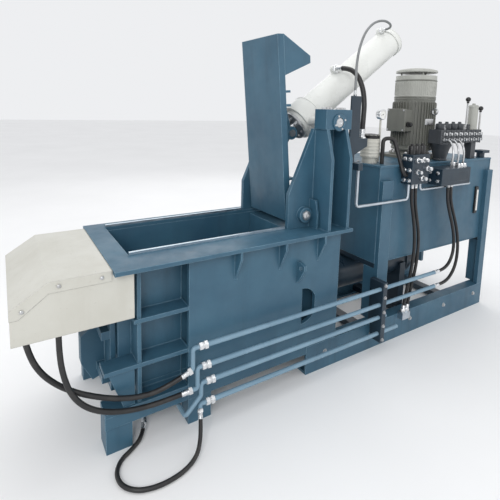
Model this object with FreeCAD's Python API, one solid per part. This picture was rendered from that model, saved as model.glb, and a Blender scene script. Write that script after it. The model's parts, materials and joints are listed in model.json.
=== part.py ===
import FreeCAD, Part
import math
import os

V = FreeCAD.Vector

# Horizontal hydraulic scrap baler. X runs along the machine from the hooded discharge end to the
# power unit, Y from the service side to the back, Z up. The origin is on the floor under the middle
# of the machine's bounding box. All sizes are in millimetres.

# ---- lengths along X -------------------------------------------------------------------------
HOOD_REACH = 494.0        # hood's outer end to the inner end of the press chamber
BOX_LENGTH = 1252.0       # chamber end to the yoke that carries the main cylinder
BAY_GAP = 359.0           # yoke to tank
TANK_LENGTH = 1329.0
CORNER_REACH = 146.0      # lower ribs past the chamber's end
LEG_LENGTH = 127.0
RIB_BAY = 257.0           # stretch of box left open between the skin plate and the chamber's end
# ---- widths along Y --------------------------------------------------------------------------
WIDTH = 854.0             # bearing block at the back to the valve shelf at the front
VALVE_SHELF = 107.0       # how far the valve shelf stands in front of the skin plate
CHAMBER_WIDTH = 488.0
WALL = 26.0
SKIN = 25.0
FRONT_RIB = 75.0
LEG_DEPTH = 90.0
FOOT_DEPTH = 30.0
REAR_RIB = 35.0
# ---- heights along Z -------------------------------------------------------------------------
RIM_HEIGHT = 900.0
RIM_PLATE = 20.0
FLOOR_TOP = 240.0
FLOOR_PLATE = 25.0
SKIN_BOTTOM = 136.0
SHELF = 20.0
SHELF_1 = 613.0
SHELF_2 = 395.0
SHELF_3 = 195.0
RAIL_HEIGHT = 180.0
RAIL_WEB = 14.0
TANK_BOTTOM = 585.0
TANK_TOP = 1245.0
TANK_SHEET = 6.0
BEARER = 34.0             # depth of the bars under the tank
# ---- rim and columns -------------------------------------------------------------------------
RIM_OVERHANG = 61.0
RIM_END = 105.0
LIP = 12.0
LIP_HEIGHT = 14.0
GUSSET = 12.0
COLUMN_TOP = 1490.0
COLUMN_KINK = 1320.0
COLUMN_DEPTH = 150.0
COLUMN_PLATE = 20.0
BLOCK_HEIGHT = 115.0
BLOCK_LENGTH = 200.0
# ---- lid, drawn open and leaning past upright ------------------------------------------------
LID_LEAN = 5.5            # degrees
LID_LENGTH = 1050.0
LID_WIDTH = 390.0
LID_SLAB = 42.0
LID_SIDE = 18.0
LID_DROP = 75.0           # pivot to pressing face
LID_HEEL = 45.0
LID_PIVOT_X = 222.0       # pivot to the box's end, along X
LID_PIVOT_RISE = 80.0     # pivot above the rim
HINGE_PIN_R = 28.0
HINGE_BOSS_R = 45.0
BOSS_LENGTH = 30.0
PIN_RUNNING = 0.05        # radial clearance of every turning pin
PIN_S = 464.0             # clevis pin along the lid from the pivot
PIN_T = 95.0              # clevis pin behind the lid's pivot plane
EAR_R = 50.0
CLEVIS_GAP = 96.0
CLEVIS_PLATE = 22.0
CLEVIS_PIN_R = 22.0
# ---- lid cylinder ----------------------------------------------------------------------------
TRUNNION_X = 160.0        # trunnion right of the lid's pivot
TRUNNION_RISE = 550.0     # trunnion above the lid's pivot
BARREL_R = 100.0
COLLAR_R = 118.0
HEAD_OUT = 58.0           # front head ahead of the trunnion
BARREL_BACK = 1010.0      # trunnion to the rear cap's face
TRUNNION_R = 28.0
LID_ROD_R = 42.0
EYE_R = 44.0
PORT_STUB = 42.0
BORE_GAP = 0.06           # rod to gland
# ---- end gate --------------------------------------------------------------------------------
GATE_HINGE_OUT = 85.0     # hinge line outside the chamber's end
GATE_HINGE_Z = 655.0
GATE_PLATE = 25.0
HEADER = 18.0
HEADER_BOTTOM = 700.0
GATE_GAP = 4.0
POST_DEPTH = 60.0         # gate posts, outwards from the chamber's end
POST_GAP = 2.0            # gate posts to the chamber's inner faces
GATE_SWING = 75.0         # degrees, shut to fully open
CRANK = 110.0
CRANK_ANGLE = 145.0       # degrees from +X, gate shut
GATE_CYL_BACK_X = 355.0   # rear pin left of the hinge line
GATE_CYL_RISE = 80.0      # rear pin above the hinge line
GATE_CYL_R = 34.0
GATE_CYL_START = 56.0
GATE_CYL_GLAND = 42.0     # barrel length beyond the stroke
GATE_ROD_R = 16.0
GATE_PIN_R = 12.0
GATE_SHAFT_R = 22.0
# ---- hood ------------------------------------------------------------------------------------
HOOD_SHEET = 3.0
COVER_SHEET = 2.0
HOOD_BOTTOM = 658.0
HOOD_LOW = 807.0
HOOD_TOP = 896.0
HOOD_SLOPE = 140.0
HOOD_FRONT = 22.0         # in front of the skin plate
HOOD_DEPTH = 671.0
# ---- main ram --------------------------------------------------------------------------------
PLATEN_THICK = 140.0
PLATEN_BACK = 134.0       # platen's back face to the box's end
PLATEN_GAP = 4.0
RAM_AXIS_Z = 420.0
MAIN_BARREL_R = 125.0
MAIN_ROD_R = 65.0
MAIN_BARREL_LENGTH = 980.0
MAIN_STROKE = 670.0
YOKE_PLATE = 60.0
RAIL_OVERLAP = 231.0      # base rails reach this far under the box
# ---- service pipes on the front --------------------------------------------------------------
PIPE_R = 13.0
PIPE_OUT = 66.0           # pipe centre in front of the skin plate
PIPE_HEIGHTS = (452.0, 345.0, 258.0, 146.0)

FERRULE = 26.0
# ---- power unit ------------------------------------------------------------------------------
MOTOR_R = 150.0
MOTOR_LENGTH = 400.0
COWL_LENGTH = 170.0
SHAFT_R = 24.0
FILTER_R = 64.0
LEVER_LENGTH = 200.0

# ---- places worked out from the sizes --------------------------------------------------------
LENGTH = HOOD_REACH + BOX_LENGTH + BAY_GAP + TANK_LENGTH
X_LEFT = -LENGTH / 2
X_END = X_LEFT + HOOD_REACH               # chamber's inner end
X_BOX = X_END + BOX_LENGTH
X_TANK = X_BOX + BAY_GAP
X_RIGHT = X_TANK + TANK_LENGTH
Y_FRONT = -WIDTH / 2
Y_REAR = WIDTH / 2
Y_SKIN = Y_FRONT + VALVE_SHELF            # front face of the skin plate
Y_WALL = Y_SKIN + SKIN + FRONT_RIB        # outer face of the front wall
Y_IN = Y_WALL + WALL                      # chamber's front inner face
Y_OUT = Y_IN + CHAMBER_WIDTH              # chamber's rear inner face
Y_MID = (Y_IN + Y_OUT) / 2
Y_BACK_WALL = Y_OUT + WALL
Y_BACK_SKIN = Y_BACK_WALL + REAR_RIB
Y_BACK = Y_BACK_SKIN + SKIN               # rear face of the rear skin
Z_UNDER_RIM = RIM_HEIGHT - RIM_PLATE
X_SKIN = X_END + RIB_BAY
X_RAIL = X_BOX - RAIL_OVERLAP
X_POST = X_END - POST_DEPTH
PIVOT = V(X_BOX - LID_PIVOT_X, Y_MID, RIM_HEIGHT + LID_PIVOT_RISE)
TRUNNION = V(PIVOT.x + TRUNNION_X, Y_MID, PIVOT.z + TRUNNION_RISE)
X_RIM_OPEN = PIVOT.x + 53.0               # end of the charging opening, clear of the lid's heel
FRONT_PORT = V(246.0, Y_MID, 1880.0)      # elbows on the lid cylinder
REAR_PORT = V(668.0, Y_MID, 2182.0)
GATE_HINGE = V(X_END - GATE_HINGE_OUT, 0, GATE_HINGE_Z)
PARTS = {}

# name: diameter and the points of the route, chosen by hand
CORDS = {
    "gate_hose_upper": (24.0, [
        (-1666, -300, 660), (-1652, -300, 585), (-1618, -300, 502), (-1566, -300, 432),
        (-1496, -306, 372), (-1412, -320, 326), (-1312, -344, 292), (-1198, -366, 277),
        (-1090, -380, 297), (-995, -386, 336)]),
    "gate_hose_lower": (24.0, [
        (-1544, -318, 660), (-1545, -326, 574), (-1534, -338, 476), (-1506, -344, 382),
        (-1450, -348, 306), (-1368, -352, 254), (-1262, -360, 226), (-1128, -374, 222),
        (-994, -386, 236)]),
    "floor_hose": (20.0, [
        (-943.2, -414, 122.8), (-960, -456, 88), (-982, -498, 52), (-1014, -534, 24),
        (-1070, -562, 12), (-1142, -580, 12), (-1222, -580, 12), (-1296, -556, 12),
        (-1345, -502, 12), (-1352, -432, 12), (-1316, -372, 12), (-1252, -338, 12),
        (-1196, -300, 20), (-1170, -240, 30)]),
    "lid_hose_thick": (32.0, [
        (246, 8, 1880), (246, -80, 1880), (258, -158, 1838), (266, -206, 1752),
        (258, -236, 1652), (244, -246, 1548), (240, -246, 1440)]),
    "lid_hose_thin": (16.0, [
        (150, -254, 1700), (152, -254, 1784), (176, -228, 1898), (232, -196, 2012),
        (316, -158, 2112), (424, -128, 2186), (540, -112, 2214), (632, -92, 2200),
        (668, -48, 2182), (668, 8, 2182)]),
    "drop_hose_1": (22.0, [
        (660, -336, 1120), (660, -336, 1012), (688, -342, 898), (712, -346, 782),
        (724, -347, 664), (716, -348, 548), (694, -348, 436), (664, -348, 326),
        (650, -348, 220)]),
    "drop_hose_2": (22.0, [
        (700, -336, 1120), (700, -336, 1008), (726, -341, 892), (756, -346, 776),
        (768, -347, 658), (760, -348, 544), (736, -348, 432), (706, -348, 324),
        (690, -348, 220)]),
    "drop_hose_3": (22.0, [
        (1040, -360, 1100), (1040, -360, 990), (1078, -365, 880), (1122, -372, 774),
        (1148, -378, 670), (1144, -384, 570), (1100, -386, 488), (1024, -386, 452),
        (940, -386, 452)]),
    "drop_hose_4": (22.0, [
        (1078, -360, 1100), (1078, -360, 990), (1120, -366, 880), (1168, -372, 772),
        (1198, -378, 660), (1204, -383, 548), (1180, -386, 444), (1118, -386, 370),
        (1036, -386, 345), (950, -386, 345)]),
}


# ---- shape helpers ---------------------------------------------------------------------------
def box(x0, x1, y0, y1, z0, z1):
    """A block between two corners."""
    return Part.makeBox(x1 - x0, y1 - y0, z1 - z0, V(x0, y0, z0))


def rod(start, axis, radius, length):
    """A solid cylinder from a point along an axis."""
    return Part.makeCylinder(radius, length, start, axis)


def rod_y(x, z, radius, y0, y1):
    """A solid cylinder along Y."""
    return rod(V(x, y0, z), V(0, 1, 0), radius, y1 - y0)


def plate_xz(points, y0, y1):
    """A flat plate with an outline in X and Z, from y0 to y1."""
    wire = Part.makePolygon([V(x, y0, z) for x, z in points + points[:1]])
    return Part.Face(wire).extrude(V(0, y1 - y0, 0))


def plate_yz(points, x0, x1):
    """A flat plate with an outline in Y and Z, from x0 to x1."""
    wire = Part.makePolygon([V(x0, y, z) for y, z in points + points[:1]])
    return Part.Face(wire).extrude(V(x1 - x0, 0, 0))


def fused(shapes):
    """One solid from touching shapes, with the joint lines removed."""
    return shapes[0].multiFuse(shapes[1:]).removeSplitter()


def group(shapes):
    """Separate solids in one node."""
    return Part.makeCompound([s for shape in shapes for s in shape.Solids])


def add(name, shape):
    """Keep a shape as a node."""
    PARTS[name] = shape


def bent_path(points, fraction=0.45, radius=None):
    """Straight runs joined by tangent arcs; returns the wire and the arcs' radii."""
    edges = []
    radii = []
    last = points[0]
    for before, corner, after in zip(points, points[1:], points[2:]):
        way_in = (before - corner).normalize()
        way_out = (after - corner).normalize()
        half_turn = (math.pi - way_in.getAngle(way_out)) / 2
        reach = fraction * min(before.distanceToPoint(corner), after.distanceToPoint(corner))
        if radius:
            reach = radius * math.tan(half_turn)
        bend = reach / math.tan(half_turn)
        radii.append(bend)
        start = corner + way_in * reach
        end = corner + way_out * reach
        inward = (way_in + way_out).normalize()
        middle = corner + inward * (bend / math.cos(half_turn) - bend)
        edges.append(Part.LineSegment(last, start).toShape())
        edges.append(Part.Arc(start, middle, end).toShape())
        last = end
    edges.append(Part.LineSegment(last, points[-1]).toShape())
    return Part.Wire(edges), radii


def tube(points, outer, radius=None):
    """A round tube or hose along a bent path."""
    path, radii = bent_path(points, radius=radius)
    start = points[0]
    way = points[1] - points[0]
    ring = Part.Wire(Part.makeCircle(outer, start, way))
    return path.makePipeShell([ring], True, False), radii


def cord_end(name, index):
    """A hose's end point, and the unit way out of the hose there."""
    places = CORDS[name][1]
    inner = places[1] if index == 0 else places[-2]
    end = V(*places[index])
    return end, (end - V(*inner)).normalize()


def ferrule(name, index):
    """The crimped fitting that a hose's end butts against."""
    end, way = cord_end(name, index)
    return rod(end, way, CORDS[name][0] / 2 + 3.0, FERRULE)


# ---- press box -------------------------------------------------------------------------------
def make_box():
    """Chamber walls, floor, skins, ribs and the charging rim."""
    for name, y in (("chamber_front_wall", Y_WALL), ("chamber_rear_wall", Y_OUT)):
        add(name, box(X_END, X_BOX, y, y + WALL, FLOOR_TOP, Z_UNDER_RIM))
    add("chamber_floor", box(X_END, X_BOX, Y_WALL, Y_BACK_WALL, FLOOR_TOP - FLOOR_PLATE, FLOOR_TOP))

    skin = [(X_SKIN, SKIN_BOTTOM), (X_RAIL, SKIN_BOTTOM), (X_RAIL, RAIL_HEIGHT),
            (X_BOX, RAIL_HEIGHT), (X_BOX, Z_UNDER_RIM), (X_SKIN, Z_UNDER_RIM)]
    front_skin = plate_xz(skin, Y_SKIN, Y_SKIN + SKIN)
    window_x = X_BOX - 283.0
    window_r = 110.0
    half = rod_y(window_x, 454.0, window_r, Y_SKIN - 1, Y_SKIN + SKIN + 1)
    keep = box(window_x, window_x + 100.0, Y_SKIN - 2, Y_SKIN + SKIN + 2, 340.0, 568.0)
    legs = [box(X_SKIN, X_SKIN + LEG_LENGTH, y, y + LEG_DEPTH, 0, SKIN_BOTTOM)
            for y in (Y_SKIN, Y_BACK - LEG_DEPTH)]
    add("front_skin_plate", group([front_skin.cut(half.common(keep)), legs[0]]))
    add("rear_skin_plate", group([plate_xz(skin, Y_BACK_SKIN, Y_BACK), legs[1]]))

    # ribs that wrap the box's discharge end, with its feet, stiffeners and corner wedges
    x_corner = X_END - CORNER_REACH
    for side, skin_y, wall_y in (("front", Y_SKIN, Y_WALL), ("rear", Y_BACK_SKIN, Y_BACK_WALL)):
        y0, y1 = sorted((skin_y, wall_y))
        ribs = [box(X_END - 10.0, X_SKIN, y0, y1, SHELF_1, SHELF_1 + SHELF)]
        ribs += [box(x_corner, X_SKIN, y0, y1, z, z + SHELF) for z in (SHELF_2, SHELF_3)]
        ribs += [box(X_END + 6.0, X_END + 24.0, y0 + 8.0, y1, z0, z1)
                 for z0, z1 in ((SHELF_3 + SHELF, SHELF_2), (SHELF_2 + SHELF, SHELF_1),
                                (SHELF_1 + SHELF, Z_UNDER_RIM))]
        ribs.append(plate_xz([(X_END - 8.0, SHELF_2), (x_corner + 20.0, SHELF_2),
                              (X_END - 60.0, SHELF_3 + SHELF), (X_END - 8.0, SHELF_3 + SHELF)],
                             y0 + 12.0, y0 + 24.0))
        bottom = box(x_corner, X_SKIN, y0, y0 + 14.0, SKIN_BOTTOM, SHELF_3)
        foot = box(x_corner + 6.0, x_corner + 126.0, y0 + 14.0, y1 + FOOT_DEPTH, 0, SHELF_3)
        if side == "rear":
            foot = box(x_corner + 6.0, x_corner + 126.0, y0 - FOOT_DEPTH, y1, 0, SHELF_3)
        ribs.append(fused([bottom, foot]))
        add("end_ribs_" + side, group(ribs))

    # end frame round the gate: two posts and the header under the hood
    y_near = Y_IN - POST_GAP
    y_far = Y_OUT + POST_GAP
    posts = [box(X_POST, X_END, Y_WALL, y_near, FLOOR_TOP, Z_UNDER_RIM),
             box(X_POST, X_END, y_far, Y_BACK_WALL, FLOOR_TOP, Z_UNDER_RIM)]
    header = box(X_END - HEADER, X_END, y_near, y_far, HEADER_BOTTOM, Z_UNDER_RIM)
    add("end_frame", group(posts + [header]))

    y_front_edge = Y_SKIN - RIM_OVERHANG
    x_rim_right = X_BOX + 38.0
    rim = box(X_END - RIM_END, x_rim_right, y_front_edge, Y_BACK, Z_UNDER_RIM, RIM_HEIGHT)
    x_lip = PIVOT.x - 120.0
    lips = [box(X_END, x_lip, y, y + LIP, RIM_HEIGHT, RIM_HEIGHT + LIP_HEIGHT)
            for y in (Y_IN - LIP, Y_OUT)]
    rim = rim.cut(box(X_END, X_RIM_OPEN, Y_IN, Y_OUT, 0, RIM_HEIGHT + 1))
    add("rim_frame", group([rim] + lips))
    gussets = []
    for offset in (522.0, 805.0, 1083.0):
        x = X_END + offset
        gussets.append(plate_yz([(y_front_edge, Z_UNDER_RIM), (y_front_edge, Z_UNDER_RIM - 40.0),
                                 (Y_SKIN, Z_UNDER_RIM - 164.0), (Y_SKIN, Z_UNDER_RIM)],
                                x - GUSSET, x))
    x_lug = X_BOX - 330.0
    lug = plate_yz([(Y_SKIN, 610.0), (Y_SKIN - 26.0, 640.0), (Y_SKIN - 62.0, 700.0),
                    (Y_SKIN - 62.0, 728.0), (Y_SKIN - 30.0, 742.0), (Y_SKIN, 742.0)],
                   x_lug, x_lug + 18.0)
    hole = rod(V(x_lug - 1, Y_SKIN - 36.0, 706.0), V(1, 0, 0), 13.0, 20.0)
    add("rim_gussets", group(gussets + [lug.cut(hole)]))


# ---- columns, hinge and bearings -------------------------------------------------------------
def make_columns():
    """Cheek plates, column flanges, hinge bosses and the trunnion bearings on both sides."""
    x_slope = X_BOX - 332.0
    x_top = X_BOX - 162.0
    x_right = X_BOX + 13.0
    outline = [(x_slope, RIM_HEIGHT), (x_right, RIM_HEIGHT), (x_right, COLUMN_TOP),
               (x_top, COLUMN_TOP), (x_slope, RIM_HEIGHT + 205.0)]
    x_block = TRUNNION.x - BLOCK_LENGTH / 2
    for side, inner, sign in (("front", Y_IN, -1), ("rear", Y_OUT, 1)):
        outer = inner + sign * WALL
        tip = outer + sign * COLUMN_DEPTH if side == "front" else Y_BACK
        top_tip = Y_SKIN if side == "front" else Y_REAR
        low_tip = outer + sign * (FRONT_RIB if side == "front" else REAR_RIB)
        y0, y1 = sorted((inner, outer))
        pieces = [plate_xz(outline, y0, y1)]
        for x in (x_right - 165.0, x_right - COLUMN_PLATE):
            pieces.append(plate_yz([(outer, RIM_HEIGHT), (tip, RIM_HEIGHT), (tip, COLUMN_KINK),
                                    (top_tip, COLUMN_TOP), (outer, COLUMN_TOP)],
                                   x, x + COLUMN_PLATE))
        pieces.append(plate_yz([(outer, RIM_HEIGHT), (low_tip, RIM_HEIGHT),
                                (low_tip, RIM_HEIGHT + 87.0),
                                (low_tip - sign * 20.0, RIM_HEIGHT + 170.0),
                                (outer, RIM_HEIGHT + 170.0)], x_right - 187.0, x_right - 174.0))
        h0, h1 = sorted((outer, outer + sign * BOSS_LENGTH))
        pieces.append(rod_y(PIVOT.x, PIVOT.z, HINGE_BOSS_R, h0, h1))
        bore = rod_y(PIVOT.x, PIVOT.z, HINGE_PIN_R + PIN_RUNNING, Y_FRONT, Y_REAR)
        add("column_" + side, group([piece.cut(bore) for piece in pieces]))
        b0, b1 = sorted((outer, top_tip))
        block = box(x_block, x_block + BLOCK_LENGTH, b0, b1, COLUMN_TOP, COLUMN_TOP + BLOCK_HEIGHT)
        seat = rod_y(TRUNNION.x, TRUNNION.z, TRUNNION_R + PIN_RUNNING, b0 - 1, b1 + 1)
        bolts = [rod(V(TRUNNION.x + x, (b0 + b1) / 2, COLUMN_TOP + BLOCK_HEIGHT), V(0, 0, 1),
                     9.0, 12.0)
                 for x in (-80.0, -55.0, -30.0, 30.0, 55.0, 80.0)]
        add("bearing_block_" + side, group([block.cut(seat)] + bolts))


# ---- lid -------------------------------------------------------------------------------------
def lid_point(s, t):
    """Place a lid point: s along the lid from the pivot, t behind it, at rest."""
    lean = math.radians(LID_LEAN)
    x = PIVOT.x - s * math.sin(lean) + t * math.cos(lean)
    z = PIVOT.z + s * math.cos(lean) + t * math.sin(lean)
    return (x, z)


def lid_plate(points, y0, y1):
    """A plate whose outline is given along and behind the lid."""
    return plate_xz([lid_point(s, t) for s, t in points], y0, y1)


def make_lid():
    """Pressing slab, nose box, clevis and cross ribs, and hinge shaft."""
    y0 = Y_MID - LID_WIDTH / 2
    y1 = Y_MID + LID_WIDTH / 2
    face = -LID_DROP
    back = face + LID_SLAB
    add("lid_slab", lid_plate([(-LID_HEEL, face), (LID_LENGTH, face), (LID_LENGTH, back),
                               (-LID_HEEL, back)], y0, y1))
    # hollow nose: two cheeks, a sloped top, an end strip and an underside
    nose_s = LID_LENGTH - 230.0
    tip = (LID_LENGTH - 123.0, 157.0)
    heel = (LID_LENGTH - 165.0, 157.0)
    inner0 = y0 + LID_SIDE
    inner1 = y1 - LID_SIDE
    outline = [(nose_s, back), heel, tip, (LID_LENGTH, back)]
    nose = [lid_plate(outline, y0, inner0), lid_plate(outline, inner1, y1)]
    nose.append(lid_plate([tip, (LID_LENGTH, back), (LID_LENGTH - 16.0, back),
                           (tip[0] - 12.0, tip[1] - 7.0)], inner0, inner1))
    nose.append(lid_plate([(nose_s, back), (heel[0], heel[1] - 14.0), (heel[0] + 14.0,
                                                                    heel[1] - 14.0),
                           (nose_s + 14.0, back)], inner0, inner1))
    nose.append(lid_plate([heel, tip, (tip[0], tip[1] - 14.0), (heel[0], heel[1] - 14.0)],
                          inner0, inner1).cut(nose[2]))
    add("lid_nose", group(nose))

    # ears on the hinge shaft, clevis ribs for the rod, and cross ribs beside them
    pin_x, pin_z = lid_point(PIN_S, PIN_T)
    near = Y_MID - CLEVIS_GAP / 2
    far = Y_MID + CLEVIS_GAP / 2
    ribs = []
    for ya in (y0, inner1):
        yb = ya + LID_SIDE
        ear = lid_plate([(-LID_HEEL, back), (140.0, back), (35.0, 36.0), (-18.0, 36.0)], ya, yb)
        hub = rod_y(PIVOT.x, PIVOT.z, EAR_R, ya, yb)
        slab = lid_plate([(-80.0, face - 60.0), (150.0, face - 60.0), (150.0, back),
                          (-80.0, back)], ya - 1, yb + 1)
        bore = rod_y(PIVOT.x, PIVOT.z, HINGE_PIN_R, ya - 1, yb + 1)
        ribs.append(fused([ear, hub]).cut(slab).cut(bore))
    for ya in (near - CLEVIS_PLATE, far):
        yb = ya + CLEVIS_PLATE
        rib = lid_plate([(300.0, back), (420.0, 70.0), (520.0, 82.0), (nose_s - 60.0, 30.0),
                         (nose_s - 20.0, back)], ya, yb)
        rib = fused([rib, rod_y(pin_x, pin_z, 42.0, ya, yb)])
        ribs.append(rib.cut(rod_y(pin_x, pin_z, CLEVIS_PIN_R, ya - 1, yb + 1)))
    for s in (200.0, 640.0, 720.0):
        for ya, yb in ((y0, near - CLEVIS_PLATE), (far + CLEVIS_PLATE, y1)):
            ribs.append(lid_plate([(s, back), (s + 14.0, back), (s + 14.0, 0.0), (s, 0.0)],
                                  ya, yb))
    add("lid_ribs", group(ribs))
    stub = BOSS_LENGTH + 8.0
    shaft = rod_y(PIVOT.x, PIVOT.z, HINGE_PIN_R, Y_WALL - stub, Y_BACK_WALL + stub)
    head = 10.0
    pins = [rod_y(pin_x, pin_z, CLEVIS_PIN_R, near - CLEVIS_PLATE - head, near - 1.0),
            rod_y(pin_x, pin_z, CLEVIS_PIN_R, far + 1.0, far + CLEVIS_PLATE + head)]
    add("lid_pins", group([shaft] + pins))
    return V(pin_x, Y_MID, pin_z)


# ---- lid cylinder ----------------------------------------------------------------------------
def make_lid_cylinder(pin):
    """Trunnion-mounted barrel and the rod whose eye reaches the lid's clevis."""
    axis = (TRUNNION - pin).normalize()
    front = TRUNNION - axis * HEAD_OUT
    barrel = rod(front, axis, BARREL_R, HEAD_OUT + BARREL_BACK)
    collar = rod(TRUNNION - axis * 30.0, axis, COLLAR_R, 118.0)
    rear_ring = rod(TRUNNION + axis * (BARREL_BACK - 34.0), axis, BARREL_R + 5.0, 40.0)
    hollow = rod(front - axis, axis, LID_ROD_R + BORE_GAP, HEAD_OUT + BARREL_BACK - 60.0)
    stubs = rod_y(TRUNNION.x, TRUNNION.z, TRUNNION_R, Y_SKIN - 6.0, Y_REAR)
    body = fused([barrel, collar, rear_ring, stubs])
    ports = []
    for elbow, radius in ((FRONT_PORT, 24.0), (REAR_PORT, 18.0)):
        foot = TRUNNION + axis * (elbow - TRUNNION).dot(axis)
        ports.append(rod(foot, elbow - foot, radius, foot.distanceToPoint(elbow)))
        ports.append(Part.makeSphere(radius, elbow))
        ports.append(rod(elbow, V(0, -1, 0), radius - 4.0, PORT_STUB))
    body = fused([body] + ports)
    add("lid_cylinder_barrel", body.cut(hollow))
    shaft = rod(pin, axis, LID_ROD_R, BARREL_BACK - 40.0)
    eye_half = CLEVIS_GAP / 2 - 4.0
    eye = rod_y(pin.x, pin.z, EYE_R, Y_MID - eye_half, Y_MID + eye_half)
    pin_hole = rod_y(pin.x, pin.z, CLEVIS_PIN_R, Y_MID - 100.0, Y_MID + 100.0)
    eye_pin = rod_y(pin.x, pin.z, CLEVIS_PIN_R, Y_MID - CLEVIS_GAP / 2 + 1.0,
                    Y_MID + CLEVIS_GAP / 2 - 1.0)
    add("lid_cylinder_rod", group([fused([shaft, eye]).cut(pin_hole), eye_pin]))


# ---- end gate and its cylinder ---------------------------------------------------------------
def make_gate():
    """Swinging discharge gate, its crank and the small cylinder under the hood."""
    y0 = Y_IN + GATE_GAP
    y1 = Y_OUT - GATE_GAP
    x1 = X_POST - GATE_GAP
    x0 = x1 - GATE_PLATE
    h = GATE_HINGE
    shaft_hole = rod_y(h.x, h.z, GATE_SHAFT_R, y0 - 1, y1 + 1)
    leaf = box(x0, x1, y0, y1, FLOOR_TOP - 10.0, h.z - 43.0)
    hangers = [plate_xz([(x0, 560.0), (x1, 560.0), (x1, h.z + 30.0), (h.x - 30.0, h.z + 30.0),
                         (h.x - 30.0, h.z - 20.0), (x0, 600.0)], ya, ya + 40.0)
               for ya in (y0, y1 - 40.0)]
    spine_y = y0 + 130.0
    spine = plate_xz([(x0, 560.0), (x0, 250.0), (x0 - 60.0, 230.0), (x0 - 112.0, 330.0),
                      (x0 - 112.0, 470.0)], spine_y, spine_y + 60.0)
    bars = [box(x0 - 40.0, x0, ya, yb, z, z + 40.0) for z in (280.0, 500.0)
            for ya, yb in ((y0, spine_y), (spine_y + 60.0, y1))]
    leaf = fused([leaf] + hangers).cut(shaft_hole)
    add("end_gate", group([leaf, spine] + bars))

    crank_y = y0 + 46.0
    arm_t = 14.0
    eye_gap = 2 * GATE_ROD_R + 4.0
    angle = math.radians(CRANK_ANGLE)
    side = V(-math.sin(angle), 0, math.cos(angle))
    along = V(math.cos(angle), 0, math.sin(angle))
    hub = V(h.x, 0, h.z)
    tip = hub + along * CRANK
    pin = V(tip.x, crank_y + arm_t + eye_gap / 2, tip.z)
    pieces = [rod_y(h.x, h.z, GATE_SHAFT_R, Y_WALL, Y_BACK_WALL)]
    for ya, way in ((crank_y, -1), (crank_y + arm_t + eye_gap, 1)):
        yb = ya + arm_t
        corners = [hub + side * 30.0, tip + side * 20.0, tip - side * 20.0, hub - side * 30.0]
        arm = plate_xz([(p.x, p.z) for p in corners], ya, yb)
        arm = fused([arm, rod_y(hub.x, hub.z, 36.0, ya, yb), rod_y(tip.x, tip.z, 24.0, ya, yb)])
        arm = arm.cut(rod_y(hub.x, hub.z, GATE_SHAFT_R, ya - 1, yb + 1))
        pieces.append(arm.cut(rod_y(pin.x, pin.z, GATE_PIN_R, ya - 1, yb + 1)))
        if way < 0:
            pieces.append(rod_y(pin.x, pin.z, GATE_PIN_R, ya - 6.0, yb - 0.8))
        else:
            pieces.append(rod_y(pin.x, pin.z, GATE_PIN_R, ya + 0.8, yb + 6.0))
    add("gate_crank", group(pieces))

    # lugs that carry the hinge shaft on the end posts
    lugs = []
    for ya, yb in ((Y_WALL, Y_IN - POST_GAP), (Y_OUT + POST_GAP, Y_BACK_WALL)):
        lug = box(h.x - 45.0, X_POST, ya, yb, h.z - 45.0, h.z + 45.0)
        lugs.append(lug.cut(rod_y(h.x, h.z, GATE_SHAFT_R + PIN_RUNNING, ya - 1, yb + 1)))

    rear = V(h.x - GATE_CYL_BACK_X, pin.y, h.z + GATE_CYL_RISE)
    axis = (pin - rear).normalize()
    start = rear + axis * GATE_CYL_START
    opened = math.radians(CRANK_ANGLE - GATE_SWING)
    open_pin = V(h.x + CRANK * math.cos(opened), pin.y, h.z + CRANK * math.sin(opened))
    stroke = rear.distanceToPoint(open_pin) - rear.distanceToPoint(pin)
    length = stroke + GATE_CYL_GLAND
    barrel = rod(start, axis, GATE_CYL_R, length)
    eye = rod_y(rear.x, rear.z, 24.0, rear.y - 14.0, rear.y + 14.0)
    neck = rod(rear, axis, 11.0, GATE_CYL_START + 10.0)
    bore = rod_y(rear.x, rear.z, GATE_PIN_R + PIN_RUNNING, rear.y - 20.0, rear.y + 20.0)
    hollow = rod(start + axis * 16.0, axis, GATE_ROD_R + BORE_GAP, length)
    add("gate_cylinder_barrel", fused([barrel, eye, neck]).cut(bore).cut(hollow))
    rod_start = start + axis * 20.0
    stem = rod(rod_start, axis, GATE_ROD_R, pin.distanceToPoint(rod_start))
    rod_eye = rod_y(pin.x, pin.z, 22.0, pin.y - eye_gap / 2 + 3.0, pin.y + eye_gap / 2 - 3.0)
    pin_hole = rod_y(pin.x, pin.z, GATE_PIN_R, pin.y - 30.0, pin.y + 30.0)
    eye_pin = rod_y(pin.x, pin.z, GATE_PIN_R, pin.y - eye_gap / 2 + 0.8, pin.y + eye_gap / 2 - 0.8)
    add("gate_cylinder_rod", group([fused([stem, rod_eye]).cut(pin_hole), eye_pin]))

    # bracket that hangs the cylinder's rear pin from the header
    arms = []
    for ya in (rear.y - 27.0, rear.y + 15.0):
        yb = ya + 12.0
        arm = plate_xz([(rear.x - 26.0, rear.z - 26.0), (rear.x + 20.0, rear.z - 30.0),
                        (rear.x + 60.0, 800.0), (X_END - HEADER, 800.0),
                        (X_END - HEADER, 840.0), (rear.x + 20.0, 840.0),
                        (rear.x - 26.0, rear.z + 26.0)], ya, yb)
        arms.append(arm.cut(rod_y(rear.x, rear.z, GATE_PIN_R, ya - 1, yb + 1)))
    rear_pin = rod_y(rear.x, rear.z, GATE_PIN_R, rear.y - 32.0, rear.y + 32.0)
    add("gate_bracket", group(lugs + arms + [rear_pin]))
    return pin, rear, axis


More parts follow.
